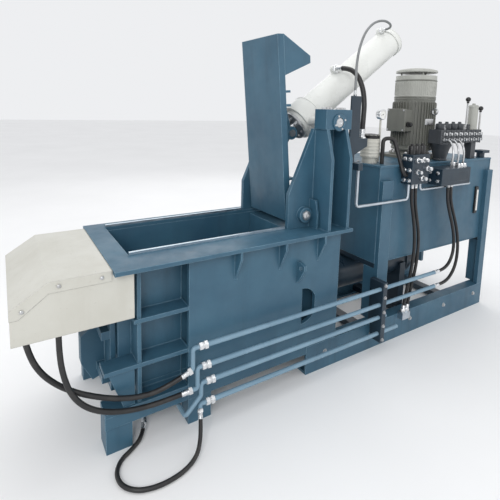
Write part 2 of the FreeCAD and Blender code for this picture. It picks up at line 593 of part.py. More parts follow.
# ---- hood ------------------------------------------------------------------------------------
def make_hood():
    """Folded sheet hood over the gate cylinder, with its cover panel and hose glands."""
    y0 = Y_SKIN - HOOD_FRONT
    y1 = y0 + HOOD_DEPTH
    x0 = X_LEFT + COVER_SHEET
    x_fold = X_LEFT + HOOD_SLOPE
    x_right = X_END - RIM_END
    s = HOOD_SHEET
    outer = plate_xz([(x0, HOOD_BOTTOM), (x0, HOOD_LOW), (x_fold, HOOD_TOP),
                      (x_right, HOOD_TOP), (x_right, HOOD_BOTTOM)], y0, y1)
    inner = plate_xz([(x0 + s, HOOD_BOTTOM - 1), (x0 + s, HOOD_LOW - 2.0),
                      (x_fold + 1.0, HOOD_TOP - s), (x_right + 1, HOOD_TOP - s),
                      (x_right + 1, HOOD_BOTTOM - 1)], y0 + s, y1 - s)
    x_wing = X_END - 14.0
    wings = [box(x_right, x_wing, y, y + s, HOOD_BOTTOM, Z_UNDER_RIM) for y in (y0, y1 - s)]
    add("hood_shell", fused([outer.cut(inner)] + wings))
    # cover panel: top and slope with turned-down edges, screwed through them
    t = COVER_SHEET
    gap = 0.5
    lip = 46.0
    cover = plate_xz([(x0 - t, HOOD_LOW - 40.0), (x0 - t, HOOD_LOW + 1.0), (x_fold, HOOD_TOP + t),
                      (x_right - 4.0, HOOD_TOP + t), (x_right - 4.0, HOOD_TOP - lip),
                      (x_fold, HOOD_TOP - lip), (x0 + 30.0, HOOD_LOW - 40.0)],
                     y0 - gap - t, y1 + gap + t)
    core = plate_xz([(x0, 0.0), (x0, HOOD_LOW), (x_fold, HOOD_TOP), (x_right, HOOD_TOP),
                     (x_right, 0.0)], y0 - gap, y1 + gap)
    screws = [rod(V(x, y, z), V(0, way, 0), 7.0, 4.0)
              for x, z in ((x_fold + 36.0, HOOD_TOP - 20.0), (x_right - 46.0, HOOD_TOP - 20.0),
                           (x0 + 42.0, HOOD_LOW - 8.0))
              for y, way in ((y0 - gap - t, -1), (y1 + gap + t, 1))]
    add("hood_cover", group([cover.cut(core)] + screws))
    # bar inside the front sheet that the gate hoses screw into
    bar = box(x0 + 20.0, x0 + 220.0, y0 + s, y0 + s + 56.0, 680.0, 704.0)
    glands = [ferrule("gate_hose_upper", 0), ferrule("gate_hose_lower", 0)]
    add("hood_hose_bar", fused([bar] + glands))


# ---- main ram and base -----------------------------------------------------------------------
def make_ram():
    """Platen, rod and main cylinder, with the yoke at the box's end."""
    x1 = X_BOX - PLATEN_BACK
    x0 = x1 - PLATEN_THICK
    y0 = Y_IN + PLATEN_GAP
    y1 = Y_OUT - PLATEN_GAP
    z0 = FLOOR_TOP + PLATEN_GAP
    top = Z_UNDER_RIM - 10.0
    face = box(x0, x0 + 30.0, y0, y1, z0, top)
    ribs = [box(x0 + 30.0, x1, y0, y1, z, z + 24.0) for z in (z0, 560.0, top - 24.0)]
    ribs += [box(x0 + 30.0, x1, y, y + 24.0, z0, top) for y in (y0, Y_MID - 12.0, y1 - 24.0)]
    along = V(1, 0, 0)
    hub = rod(V(x0 + 29.0, Y_MID, RAM_AXIS_Z), along, MAIN_ROD_R + 35.0, PLATEN_THICK - 29.0)
    add("ram_platen", fused([face] + ribs + [hub]))
    x_barrel = X_BOX + YOKE_PLATE
    rod_length = x_barrel - x1 + MAIN_STROKE + 60.0
    add("main_rod", rod(V(x1, Y_MID, RAM_AXIS_Z), along, MAIN_ROD_R, rod_length))
    yoke = box(X_BOX, x_barrel, Y_WALL, Y_BACK_WALL, 0, Z_UNDER_RIM)
    gland = rod(V(X_BOX - 1, Y_MID, RAM_AXIS_Z), along, MAIN_ROD_R + 6.0, YOKE_PLATE + 2)
    add("cylinder_yoke", yoke.cut(gland))
    barrel = rod(V(x_barrel, Y_MID, RAM_AXIS_Z), along, MAIN_BARREL_R, MAIN_BARREL_LENGTH)
    flange = rod(V(x_barrel, Y_MID, RAM_AXIS_Z), along, MAIN_BARREL_R + 26.0, 45.0)
    x_cap = x_barrel + MAIN_BARREL_LENGTH
    cap = rod(V(x_cap - 50.0, Y_MID, RAM_AXIS_Z), along, MAIN_BARREL_R + 12.0, 50.0)
    bore = rod(V(x_barrel - 1, Y_MID, RAM_AXIS_Z), along, MAIN_ROD_R + BORE_GAP,
               MAIN_BARREL_LENGTH - 80.0)
    valve = fused([rod(V(x_cap, Y_MID, RAM_AXIS_Z), along, 80.0, 60.0),
                   box(x_cap + 60.0, x_cap + 170.0, Y_MID - 70.0, Y_MID + 70.0,
                       RAM_AXIS_Z - 80.0, RAM_AXIS_Z + 80.0)])
    add("main_cylinder", group([fused([barrel, flange, cap]).cut(bore), valve]))
    return x_cap


def channel_x(x0, x1, y_web, y_open, z0, z1, t=RAIL_WEB):
    """A channel along X with its web on one side and its flanges towards the other."""
    ya, yb = sorted((y_web, y_open))
    full = box(x0, x1, ya, yb, z0, z1)
    inner = (ya + t, yb + 1) if y_web < y_open else (ya - 1, yb - t)
    return full.cut(box(x0 - 1, x1 + 1, inner[0], inner[1], z0 + t, z1 - t))


def make_base(x_cap):
    """Base rails, cross members, cylinder saddle, posts and tank bearers."""
    add("base_rail_front", channel_x(X_RAIL, X_RIGHT, Y_SKIN, Y_SKIN + 80.0, 0, RAIL_HEIGHT))
    add("base_rail_rear", channel_x(X_RAIL, X_RIGHT, Y_BACK, Y_BACK_WALL, 0, RAIL_HEIGHT))
    inner0 = Y_SKIN + RAIL_WEB
    inner1 = Y_BACK - RAIL_WEB
    cross = [box(x, x + 80.0, inner0, inner1, RAIL_WEB, 60.0)
             for x in (X_TANK + 20.0, X_RIGHT - 290.0, x_cap - 160.0)]
    saddle = box(x_cap - 150.0, x_cap - 90.0, Y_MID - 150.0, Y_MID + 150.0, 60.0, RAM_AXIS_Z)
    saddle = saddle.cut(rod(V(x_cap - 200.0, Y_MID, RAM_AXIS_Z), V(1, 0, 0), MAIN_BARREL_R,
                            200.0))
    tank_front = Y_SKIN + 32.0
    tank_rear = Y_BACK - 50.0
    bearers = [box(x, x + 60.0, tank_front, tank_rear, TANK_BOTTOM - BEARER, TANK_BOTTOM)
               for x in (X_TANK, X_RIGHT - 60.0)]
    add("cross_members", group(cross + [saddle] + bearers))
    for side, outer, inner in (("front", Y_SKIN, tank_front), ("rear", Y_BACK, tank_rear)):
        ya, yb = sorted((outer, inner))
        deep = inner + 90.0 if side == "front" else inner - 90.0
        da, db = sorted((inner, deep))
        posts = []
        for x0, x1, wing in ((X_TANK, X_TANK + 100.0, X_TANK), (X_RIGHT - 70.0, X_RIGHT,
                                                              X_RIGHT - 30.0)):
            strip = box(x0, x1, ya, yb, RAIL_HEIGHT, TANK_TOP - 95.0)
            leg = box(wing, wing + 30.0, da, db, RAIL_HEIGHT, TANK_BOTTOM - BEARER)
            posts.append(fused([strip, leg]))
        add("posts_" + side, group(posts))
    return tank_front, tank_rear


# ---- power unit ------------------------------------------------------------------------------
def make_tank(tank_front, tank_rear):
    """Oil tank with what hangs on its front edge and stands on its left end."""
    tank = box(X_TANK, X_RIGHT, tank_front, tank_rear, TANK_BOTTOM, TANK_TOP)
    hollow = box(X_TANK + TANK_SHEET, X_RIGHT - TANK_SHEET, tank_front + TANK_SHEET,
                 tank_rear - TANK_SHEET, TANK_BOTTOM + TANK_SHEET, TANK_TOP - TANK_SHEET)
    add("oil_tank", tank.cut(hollow))
    shelf = box(X_TANK + 466.0, X_TANK + 807.0, Y_FRONT, tank_front, 1100.0, 1216.0)
    manifold = box(X_TANK + 212.0, X_TANK + 392.0, tank_front - 84.0, tank_front, 1120.0, 1320.0)
    x_end = X_RIGHT - 60.0
    y_end = tank_front + 50.0
    flange = fused([rod(V(x_end, y_end, TANK_TOP), V(0, 0, 1), 30.0, 40.0),
                    box(x_end - 40.0, X_RIGHT, y_end - 40.0, y_end + 40.0, TANK_TOP + 40.0,
                        TANK_TOP + 62.0)])
    add("tank_fittings", group([shelf, manifold, flange]))
    fx = X_TANK + 79.0
    fy = tank_front + 168.0
    up = V(0, 0, 1)
    body = fused([rod(V(fx, fy, TANK_TOP), up, 52.0, 40.0),
                  rod(V(fx, fy, TANK_TOP + 40.0), up, FILTER_R, 130.0)])
    cap = rod(V(fx, fy, TANK_TOP + 170.0), up, FILTER_R - 6.0, 26.0)
    gx = fx + FILTER_R + 24.0
    gauge = fused([rod(V(gx, fy, TANK_TOP), up, 7.0, 310.0),
                   rod_y(gx, TANK_TOP + 335.0, 34.0, fy - 16.0, fy + 16.0)])
    add("filter_and_gauge", group([body, cap, gauge]))


def make_motor(tank_front):
    """Upright motor with cowl, rain cap and terminal box, and its rotor with the fan."""
    mx = X_TANK + 689.0
    my = tank_front + 290.0
    up = V(0, 0, 1)
    z_plate = TANK_TOP + 22.0
    z_body = z_plate + 42.0
    z_cowl = z_body + MOTOR_LENGTH
    z_top = z_cowl + COWL_LENGTH
    plate = box(mx - 175.0, mx + 175.0, my - 165.0, my + 180.0, TANK_TOP, z_plate)
    body = fused([rod(V(mx, my, z_plate), up, MOTOR_R + 15.0, 18.0),
                  rod(V(mx, my, z_plate + 18.0), up, MOTOR_R - 25.0, 24.0),
                  rod(V(mx, my, z_body), up, MOTOR_R, MOTOR_LENGTH)])
    bore = rod(V(mx, my, TANK_TOP - 1), up, SHAFT_R + PIN_RUNNING, z_cowl - TANK_TOP + 2)
    terminal = box(mx - MOTOR_R - 72.0, mx - MOTOR_R + 14.0, my - 90.0, my + 60.0,
                   z_body + 150.0, z_body + 310.0)
    core = rod(V(mx, my, z_body), up, MOTOR_R, MOTOR_LENGTH)
    add("motor_body", group([plate.cut(bore), body.cut(bore), terminal.cut(core)]))
    cowl = rod(V(mx, my, z_cowl), up, MOTOR_R, COWL_LENGTH)
    cowl = cowl.cut(rod(V(mx, my, z_cowl - 1), up, MOTOR_R - 5.0, COWL_LENGTH - 4.0))
    posts = [rod(V(mx + 110.0 * math.cos(a), my + 110.0 * math.sin(a), z_top), up, 6.0, 30.0)
             for a in (0.0, 2 * math.pi / 3, 4 * math.pi / 3)]
    cap = rod(V(mx, my, z_top + 30.0), up, MOTOR_R - 2.0, 6.0)
    add("motor_cowl", group([cowl] + posts + [cap]))
    turning = [rod(V(mx, my, z_plate + 8.0), up, SHAFT_R, z_cowl - z_plate + 72.0),
               rod(V(mx, my, z_cowl + 30.0), up, 44.0, 40.0)]
    for k in range(6):
        blade = box(mx + 30.0, mx + 122.0, my - 3.0, my + 3.0, z_cowl + 30.0, z_cowl + 70.0)
        blade.rotate(V(mx, my, 0), up, 60.0 * k)
        turning.append(blade)
    add("motor_rotor", fused(turning))


def make_valves(tank_front):
    """Pump housing, the lever valve bank on it and its two sprung levers."""
    up = V(0, 0, 1)
    vx = X_TANK + 639.0
    vy = tank_front + 8.0
    z0 = TANK_TOP + 134.0
    z1 = z0 + 96.0
    depth = 96.0
    mid = vy + depth / 2
    pieces = [Part.makeCone(40.0, 76.0, 134.0, V(vx + 84.0, mid + 4.0, TANK_TOP), up)]
    pieces.append(box(vx, vx + 520.0, vy, vy + depth, z0, z1))
    pieces.append(box(vx + 440.0, vx + 500.0, mid - 30.0, mid + 30.0, TANK_TOP, z0))
    pieces += [rod(V(vx + 50.0 + 84.0 * k, mid, z1), up, 28.0, 44.0) for k in range(4)]
    pieces.append(rod(V(vx + 476.0, mid, z1), up, 34.0, 190.0))
    pieces.append(box(vx + 520.0, vx + 600.0, mid - 24.0, mid + 24.0, z0 + 10.0, z0 + 30.0))
    for number, (x, seat) in enumerate(((vx + 390.0, z1), (vx + 580.0, z0 + 30.0)), start=1):
        hinge = V(x, mid, seat + 26.0)
        for ya in (mid - 24.0, mid + 14.0):
            pieces.append(box(x - 16.0, x + 16.0, ya, ya + 10.0, seat, seat + 44.0))
        stick = rod(hinge, up, 8.0, LEVER_LENGTH)
        knob = Part.makeSphere(19.0, hinge + up * (LEVER_LENGTH + 10.0))
        hub = rod_y(hinge.x, hinge.z, 13.0, mid - 13.0, mid + 13.0)
        add("valve_lever_%d" % number, fused([stick, knob, hub]))
    add("valve_bank", group(pieces))


# ---- pipes, tubes and hoses ------------------------------------------------------------------
def make_pipes(tank_front):
    """Long pipes on the front with their end bends and clamp, and the tubes round the tank."""
    y = Y_SKIN - PIPE_OUT
    along = V(1, 0, 0)
    starts = (X_SKIN + 20.0, X_SKIN + 36.0, X_SKIN + 61.0, X_SKIN + 61.0)
    ends = (940.0, 950.0, X_TANK + 25.0, X_TANK + 150.0)
    pipes = [rod(V(x0, y, z), along, PIPE_R, x1 - x0)
             for z, x0, x1 in zip(PIPE_HEIGHTS, starts, ends)]
    clamp = box(X_TANK - 40.0, X_TANK - 4.0, y - 26.0, Y_SKIN, 90.0, 500.0)
    for z in PIPE_HEIGHTS:
        clamp = clamp.cut(rod(V(X_TANK - 60.0, y, z), along, PIPE_R, 100.0))
    stand = box(X_TANK - 40.0, X_TANK - 4.0, y + PIPE_OUT, y + PIPE_OUT + 20.0, RAIL_HEIGHT,
                500.0)
    add("pipe_clamp", fused([clamp, stand]))

    z1, z2, z3, z4 = PIPE_HEIGHTS
    low_z = FLOOR_TOP - FLOOR_PLATE
    for cord, reach, start, z in (("gate_hose_upper", 24.0, starts[0], z1),
                                  ("gate_hose_lower", 46.0, starts[1], z2)):
        end, way = cord_end(cord, -1)
        corner = end + way * reach
        pipes.append(tube([V(start, y, z), V(corner.x, y, z), corner, end], 11.0, radius=14.0)[0])
    pipes.append(tube([V(starts[2], y, z3), V(-928, y, z3), V(-928, y, 190), V(-1010, y, 110),
                       V(-1010, -200, 110), V(-1010, -200, low_z)], 11.0, radius=18.0)[0])
    pipes.append(tube([V(starts[3], y, z4), V(-932, y, z4), cord_end("floor_hose", 0)[0]],
                      11.0, radius=14.0)[0])
    add("line_pipes", group(pipes))

    y_tube = tank_front - 48.0
    runs = [
        [V(130, y_tube, 1243), V(130, y_tube, 1014), V(620, y_tube, 1014), V(620, y_tube, 1120)],
        [V(745, y_tube, 1120), V(745, y_tube, 1070), V(1368, y_tube, 1070),
         V(1368, tank_front, 1070)]]
    tubes = [tube(points, 9.0, radius=24.0)[0] for points in runs]
    arch = [V(500, -200, TANK_TOP), V(500, -200, 1420), V(572, -232, 1420), V(572, -330, 1180),
            V(600, -330, 1180)]
    tubes.append(tube(arch, 9.0, radius=26.0)[0])
    add("steel_tubes", group(tubes))


def make_cords():
    """Hoses as plain tubes, and the fixed pieces that their ends screw into."""
    for name, (diameter, places) in CORDS.items():
        shape, radii = tube([V(*place) for place in places], diameter / 2)
        length = shape.Volume / (math.pi * diameter ** 2 / 4)
        print("%s: length %.0f, tightest radius %.0f (%.1f diameters), valid %s" % (
            name, length, min(radii), min(radii) / diameter, shape.isValid()))
        add(name, shape)
    # plate on the front column that holds the lid hoses and the top of the long tube
    y = Y_SKIN + 44.0
    x = X_BOX + 13.0
    plate = plate_xz([(x, 1330), (107, 1330), (107, 1243), (153, 1243), (153, 1330), (262, 1380),
                      (262, 1430), (187, 1430), (187, 1690), (107, 1690), (107, 1430), (x, 1430)],
                     y, y + 12.0)
    block = box(112, 148, Y_SKIN - 34.0, y, 1243, 1285)
    add("hose_bracket", fused([plate, block, ferrule("lid_hose_thick", -1),
                               ferrule("lid_hose_thin", 0)]))
    seat = box(630, 710, Y_SKIN - 44.0, Y_SKIN, 150, 200)
    end, way = cord_end("floor_hose", -1)
    corner = end + way * 44.0
    top = V(corner.x, corner.y, FLOOR_TOP - FLOOR_PLATE)
    drain = tube([end + way * 10.0, corner, top], 10.0, radius=16.0)[0]
    add("hose_fittings", group([
        fused([seat, ferrule("drop_hose_1", -1), ferrule("drop_hose_2", -1)]),
        fused([drain, ferrule("floor_hose", -1)])]))


if __name__ == "__main__":
    os.makedirs("parts", exist_ok=True)
    make_box()
    make_columns()
    clevis_pin = make_lid()
    make_lid_cylinder(clevis_pin)
    make_gate()
    make_hood()
    front, rear = make_base(make_ram())
    make_tank(front, rear)
    make_motor(front)
    make_valves(front)
    make_pipes(front)
    make_cords()
    for node, shape in PARTS.items():
        shape.exportStep("parts/%s.step" % node)
    print(len(PARTS), "nodes")
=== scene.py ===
import json
import logging
import math
from dataclasses import dataclass, field
from enum import Enum

import bpy
import numpy as np
from mathutils import Matrix, Vector


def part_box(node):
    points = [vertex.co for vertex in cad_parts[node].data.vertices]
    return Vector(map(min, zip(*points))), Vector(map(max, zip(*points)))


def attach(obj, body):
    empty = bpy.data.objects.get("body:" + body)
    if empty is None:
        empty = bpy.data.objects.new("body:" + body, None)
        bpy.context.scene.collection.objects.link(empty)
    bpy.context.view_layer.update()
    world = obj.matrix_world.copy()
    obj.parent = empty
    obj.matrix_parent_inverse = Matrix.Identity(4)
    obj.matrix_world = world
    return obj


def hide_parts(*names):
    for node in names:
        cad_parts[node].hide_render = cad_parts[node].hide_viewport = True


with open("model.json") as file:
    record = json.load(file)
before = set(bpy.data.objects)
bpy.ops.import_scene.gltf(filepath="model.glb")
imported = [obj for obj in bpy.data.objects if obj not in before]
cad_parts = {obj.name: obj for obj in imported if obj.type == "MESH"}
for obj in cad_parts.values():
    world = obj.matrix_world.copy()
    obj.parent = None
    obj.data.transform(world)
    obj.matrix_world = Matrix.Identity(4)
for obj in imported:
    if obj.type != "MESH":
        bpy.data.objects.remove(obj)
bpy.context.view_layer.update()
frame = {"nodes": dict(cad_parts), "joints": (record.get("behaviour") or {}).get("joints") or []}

LOG = logging.getLogger("baler")
Array = np.ndarray
Part = tuple[Array, list[list[int]]]
Point = tuple[float, float, float]
Colour = tuple[float, float, float]
Profile = tuple[tuple[float, float], ...]
X, Y, Z = np.eye(3)
BEAD_SHARP = 80.0                         # weld beads are shaded smooth up to this bend, degrees


# ---- finishes --------------------------------------------------------------------------------
class Shader:
    """Adds linked nodes to one new material."""

    def __init__(self, name: str) -> None:
        """Start an empty material with a Principled shader on its output.

        Args:
            name: The material's name.
        """
        self.material = bpy.data.materials.new(name)
        self.material.use_nodes = True
        self.tree = self.material.node_tree
        self.tree.nodes.clear()
        self.surface = self.tree.nodes.new("ShaderNodeBsdfPrincipled")
        output = self.tree.nodes.new("ShaderNodeOutputMaterial")
        self.tree.links.new(self.surface.outputs[0], output.inputs[0])
        self.place = self.tree.nodes.new("ShaderNodeTexCoord").outputs["Object"]

    def link(self, source: object, target: object) -> None:
        """Join an output to an input."""
        self.tree.links.new(source, target)

    def noise(self, scale: float, detail: float = 4.0, stretch: Point = (1, 1, 1)) -> object:
        """Noise on the object's own coordinates.

        Args:
            scale: Lumps per metre.
            detail: Number of finer octaves.
            stretch: Scale factors along X, Y and Z, small along a streak.

        Returns:
            The noise value's output socket.
        """
        mapping = self.tree.nodes.new("ShaderNodeMapping")
        mapping.inputs["Scale"].default_value = stretch
        self.link(self.place, mapping.inputs["Vector"])
        node = self.tree.nodes.new("ShaderNodeTexNoise")
        node.inputs["Scale"].default_value = scale
        node.inputs["Detail"].default_value = detail
        node.inputs["Roughness"].default_value = 0.6
        self.link(mapping.outputs[0], node.inputs["Vector"])
        return node.outputs["Fac"]

    def spread(self, value: object, low: float, high: float, start: float = 0.0,
               end: float = 1.0) -> object:
        """Map a value from low..high onto start..end, held at both ends.

        Args:
            value: The value's socket.
            low: Value that gives start.
            high: Value that gives end.
            start: Result at low.
            end: Result at high.

        Returns:
            The result's output socket.
        """
        node = self.tree.nodes.new("ShaderNodeMapRange")
        for name, number in (("From Min", low), ("From Max", high), ("To Min", start),
                             ("To Max", end)):
            node.inputs[name].default_value = number
        self.link(value, node.inputs["Value"])
        return node.outputs[0]

    def times(self, first: object, second: object) -> object:
        """Multiply two values.

        Args:
            first: One value's socket.
            second: The other's.

        Returns:
            The product's output socket.
        """
        node = self.tree.nodes.new("ShaderNodeMath")
        node.operation = "MULTIPLY"
        self.link(first, node.inputs[0])
        self.link(second, node.inputs[1])
        return node.outputs[0]

    def mix(self, share: object, first: object, second: object) -> object:
        """Blend two colours by a share.

        Args:
            share: Socket of the second colour's share, 0 to 1.
            first: A colour's socket, or three numbers.
            second: A colour's socket, or three numbers.

        Returns:
            The blended colour's output socket.
        """
        node = self.tree.nodes.new("ShaderNodeMix")
        node.data_type = "RGBA"
        self.link(share, node.inputs["Factor"])
        for name, colour in (("A", first), ("B", second)):
            socket = [s for s in node.inputs if s.name == name and s.type == "RGBA"][0]
            if isinstance(colour, tuple):
                socket.default_value = (*colour, 1.0)
            else:
                self.link(colour, socket)
        return [s for s in node.outputs if s.type == "RGBA"][0]

    def edges(self, radius: float) -> tuple[object, object]:
        """Find the object's edges by comparing a rounded normal with the flat one.

        Args:
            radius: How far from an edge the rounding reaches, in metres.

        Returns:
            A value that is 1 on edges and 0 on flats, and the rounded normal.
        """
        rounded = self.tree.nodes.new("ShaderNodeBevel")
        rounded.samples = 4
        rounded.inputs["Radius"].default_value = radius
        flat = self.tree.nodes.new("ShaderNodeNewGeometry")
        dot = self.tree.nodes.new("ShaderNodeVectorMath")
        dot.operation = "DOT_PRODUCT"
        self.link(rounded.outputs[0], dot.inputs[0])
        self.link(flat.outputs["Normal"], dot.inputs[1])
        return self.spread(dot.outputs["Value"], 0.78, 0.995, 1.0, 0.0), rounded.outputs[0]

    def bump(self, height: object, strength: float, distance: float,
             normal: object | None = None) -> None:
        """Raise the surface by a height value.

        Args:
            height: The height's socket.
            strength: Share of the relief that shows.
            distance: Height of a value of 1, in metres.
            normal: Socket of the normal to start from, such as a rounded edge's.
        """
        node = self.tree.nodes.new("ShaderNodeBump")
        node.inputs["Strength"].default_value = strength
        node.inputs["Distance"].default_value = distance
        self.link(height, node.inputs["Height"])
        if normal is not None:
            self.link(normal, node.inputs["Normal"])
        self.link(node.outputs[0], self.surface.inputs["Normal"])


@dataclass(frozen=True)
class Paint:
    """Brushed or sprayed machine paint: mottled, streaked by dirt, chipped and painted highlight on
    its edges.
    """

    name: str
    base: Colour
    light: Colour
    grime: Colour
    edge_chip_and_highlight_colour: Colour
    roughness: float = 0.42
    edge_chip_and_highlight_amount: float = 0.8
    streaks: float = 0.45
    peel: float = 0.12

    def build(self) -> bpy.types.Material:
        """Make the material.

        Returns:
            The material, named as the finish is.
        """
        s = Shader(self.name)
        tone = s.mix(s.spread(s.noise(2.6, 6.0), 0.35, 0.7), self.base, self.light)
        streak = s.times(s.spread(s.noise(7.0, 6.0, (1.6, 1.6, 0.16)), 0.5, 0.78),
                         s.spread(s.noise(1.7, 3.0), 0.35, 0.65, 0.1, self.streaks))
        tone = s.mix(streak, tone, self.grime)
        speck = s.spread(s.noise(85.0, 3.0), 0.66, 0.74, 0.0, 0.35)
        tone = s.mix(speck, tone, self.grime)
        # Lighter edges: partly chipped paint, partly painted highlight where light catches them.
        edge, rounded = s.edges(0.005)
        edge_chips_and_highlight = s.times(edge, s.spread(s.noise(16.0, 5.0), 0.3, 0.6, 0.15, self.edge_chip_and_highlight_amount))
        tone = s.mix(edge_chips_and_highlight, tone, self.edge_chip_and_highlight_colour)
        s.link(tone, s.surface.inputs["Base Color"])
        rough = s.spread(s.noise(9.0, 5.0), 0.3, 0.7, self.roughness - 0.1,
                         self.roughness + 0.14)
        s.link(rough, s.surface.inputs["Roughness"])
        s.bump(s.noise(240.0, 2.0), self.peel, 0.0006, rounded)
        return s.material


@dataclass(frozen=True)
class Metal:
    """Bare or plated metal: brushed lines, tarnish patches and dirt."""

    name: str
    base: Colour
    tarnish: Colour
    roughness: float = 0.3
    brush: Point = (1.0, 1.0, 1.0)
    patches: float = 0.5
    metallic: float = 1.0

    def build(self) -> bpy.types.Material:
        """Make the material.

        Returns:
            The material, named as the finish is.
        """
        s = Shader(self.name)
        patch = s.spread(s.noise(11.0, 6.0), 0.45, 0.72, 0.0, self.patches)
        s.link(s.mix(patch, self.base, self.tarnish), s.surface.inputs["Base Color"])
        s.surface.inputs["Metallic"].default_value = self.metallic
        lines = s.noise(160.0, 3.0, self.brush)
        s.link(s.spread(lines, 0.3, 0.7, self.roughness - 0.08, self.roughness + 0.16),
               s.surface.inputs["Roughness"])
        s.bump(lines, 0.08, 0.0004)
        return s.material


@dataclass(frozen=True)
class Rubber:
    """Hose cover or moulded plastic: near-even colour, fine texture, dusty patches."""

    name: str
    base: Colour
    dust: Colour
    roughness: float = 0.5
    grain: float = 320.0
    relief: float = 0.25

    def build(self) -> bpy.types.Material:
        """Make the material.

        Returns:
            The material, named as the finish is.
        """
        s = Shader(self.name)
        dust = s.spread(s.noise(14.0, 6.0), 0.48, 0.8, 0.0, 0.6)
        s.link(s.mix(dust, self.base, self.dust), s.surface.inputs["Base Color"])
        s.link(s.spread(s.noise(30.0), 0.3, 0.7, self.roughness - 0.08, self.roughness + 0.12),
               s.surface.inputs["Roughness"])
        s.bump(s.noise(self.grain, 2.0), self.relief, 0.0005)
        return s.material


FINISHES = {
    finish.name: finish
    for finish in (
        # A paint's fourth colour is its edge tint: chipped paint and painted edge highlight.
        Paint("blue_paint", (0.031, 0.092, 0.146), (0.048, 0.128, 0.190), (0.011, 0.026, 0.042),
              (0.300, 0.480, 0.600)),
        Paint("dark_paint", (0.010, 0.022, 0.036), (0.018, 0.036, 0.054), (0.006, 0.010, 0.014),
              (0.110, 0.170, 0.220), roughness=0.36),
        Paint("cream_paint", (0.500, 0.490, 0.435), (0.570, 0.565, 0.515), (0.300, 0.270, 0.210),
              (0.800, 0.800, 0.760), roughness=0.36, edge_chip_and_highlight_amount=0.5, streaks=0.22, peel=0.06),
        # The lid barrel's beige paint drawn near white: painted light from above.
        Paint("barrel_beige_lit_paint", (0.700, 0.710, 0.680), (0.760, 0.770, 0.740), (0.420, 0.400, 0.340),
              (0.860, 0.860, 0.840), roughness=0.30, edge_chip_and_highlight_amount=0.4, streaks=0.2, peel=0.04),
        Paint("motor_paint", (0.120, 0.124, 0.108), (0.165, 0.168, 0.148), (0.040, 0.040, 0.034),
              (0.480, 0.480, 0.440), roughness=0.45),
        Paint("grey_paint", (0.360, 0.365, 0.335), (0.430, 0.435, 0.400), (0.140, 0.135, 0.115),
              (0.640, 0.640, 0.600), roughness=0.40),
        Paint("pipe_paint", (0.150, 0.255, 0.340), (0.210, 0.330, 0.420), (0.040, 0.070, 0.095),
              (0.500, 0.620, 0.700), roughness=0.32, streaks=0.3, peel=0.05),
        Paint("cast", (0.026, 0.030, 0.036), (0.050, 0.056, 0.064), (0.010, 0.010, 0.010),
              (0.240, 0.260, 0.280), roughness=0.42, peel=0.35),
        Metal("steel", (0.560, 0.570, 0.580), (0.300, 0.270, 0.240), 0.34),
        Metal("worn_steel", (0.620, 0.700, 0.760), (0.300, 0.380, 0.450), 0.36, (0.1, 1.0, 1.0)),
        Metal("rod_chrome", (0.800, 0.810, 0.820), (0.550, 0.560, 0.570), 0.14, patches=0.2),
        Metal("zinc", (0.560, 0.610, 0.660), (0.300, 0.340, 0.380), 0.32, (0.06, 1.0, 1.0)),
        Metal("bright_plate", (0.780, 0.790, 0.800), (0.500, 0.500, 0.500), 0.24, patches=0.3),
        Rubber("hose_rubber", (0.012, 0.012, 0.013), (0.050, 0.046, 0.040), 0.44),
        Rubber("hose_braid", (0.200, 0.210, 0.215), (0.090, 0.088, 0.080), 0.50, 520.0, 0.6),
        Rubber("black_plastic", (0.010, 0.010, 0.011), (0.040, 0.040, 0.040), 0.30, 150.0, 0.08),
        Rubber("dial_white", (0.820, 0.820, 0.790), (0.700, 0.690, 0.640), 0.40, 90.0, 0.02),
    )
}
MATERIALS: dict[str, bpy.types.Material] = {}


def finish(name: str) -> bpy.types.Material:
    """The material of a named finish, made once.

    Args:
        name: The finish's name in FINISHES.

    Returns:
        Its material.
    """
    if name not in MATERIALS:
        MATERIALS[name] = FINISHES[name].build()
    return MATERIALS[name]


# ---- surfaces --------------------------------------------------------------------------------
def basis(axis: Array) -> Array:
    """Three unit rows: two across an axis and the axis itself.

    Args:
        axis: A direction of any length.

    Returns:
        The rows first, second and along, at right angles to each other.
    """
    along = np.asarray(axis, float) / np.linalg.norm(axis)
    aside = Y if abs(along[1]) < 0.9 else X
    first = np.cross(aside, along)
    first /= np.linalg.norm(first)
    return np.array([first, np.cross(along, first), along])


def grid_faces(rows: int, columns: int, ring: bool) -> list[list[int]]:
    """Quads of a grid whose points are numbered row by row.

    Args:
        rows: Points along the grid.
        columns: Points across it.
        ring: Whether the last column joins the first.

    Returns:
        Four point numbers for each quad.
    """
    r, c = np.meshgrid(np.arange(rows - 1), np.arange(columns if ring else columns - 1),
                       indexing="ij")
    after = (c + 1) % columns
    quads = np.stack([r * columns + c, r * columns + after, (r + 1) * columns + after,
                      (r + 1) * columns + c], -1)
    return quads.reshape(-1, 4).tolist()


def turned(profile: Array, centre: Array, axis: Array, sides: int, phase: float = 0.0) -> Part:
    """A turned shape: radius and height pairs carried round an axis.

    Point = centre + r cos(a) first + r sin(a) second + h axis, for each pair (r, h) and angle a.

    Args:
        profile: Radius and height pairs from the bottom outwards and up, shape (n, 2).
        centre: The point at height 0.
        axis: The turning axis.
        sides: Steps round the axis.
        phase: Angle of the first step.

    Returns:
        Vertices and faces, with both ends capped.
    """
    first, second, along = basis(axis)
    a = phase + np.linspace(0, 2 * np.pi, sides, endpoint=False)
    r, h = np.asarray(profile, float).T
    ring = np.cos(a)[:, None] * first + np.sin(a)[:, None] * second
    points = np.asarray(centre) + r[:, None, None] * ring + h[:, None, None] * along
    faces = grid_faces(len(r), sides, True)
    last = (len(r) - 1) * sides
    faces += [list(range(sides))[::-1], list(range(last, last + sides))]
    return points.reshape(-1, 3), faces


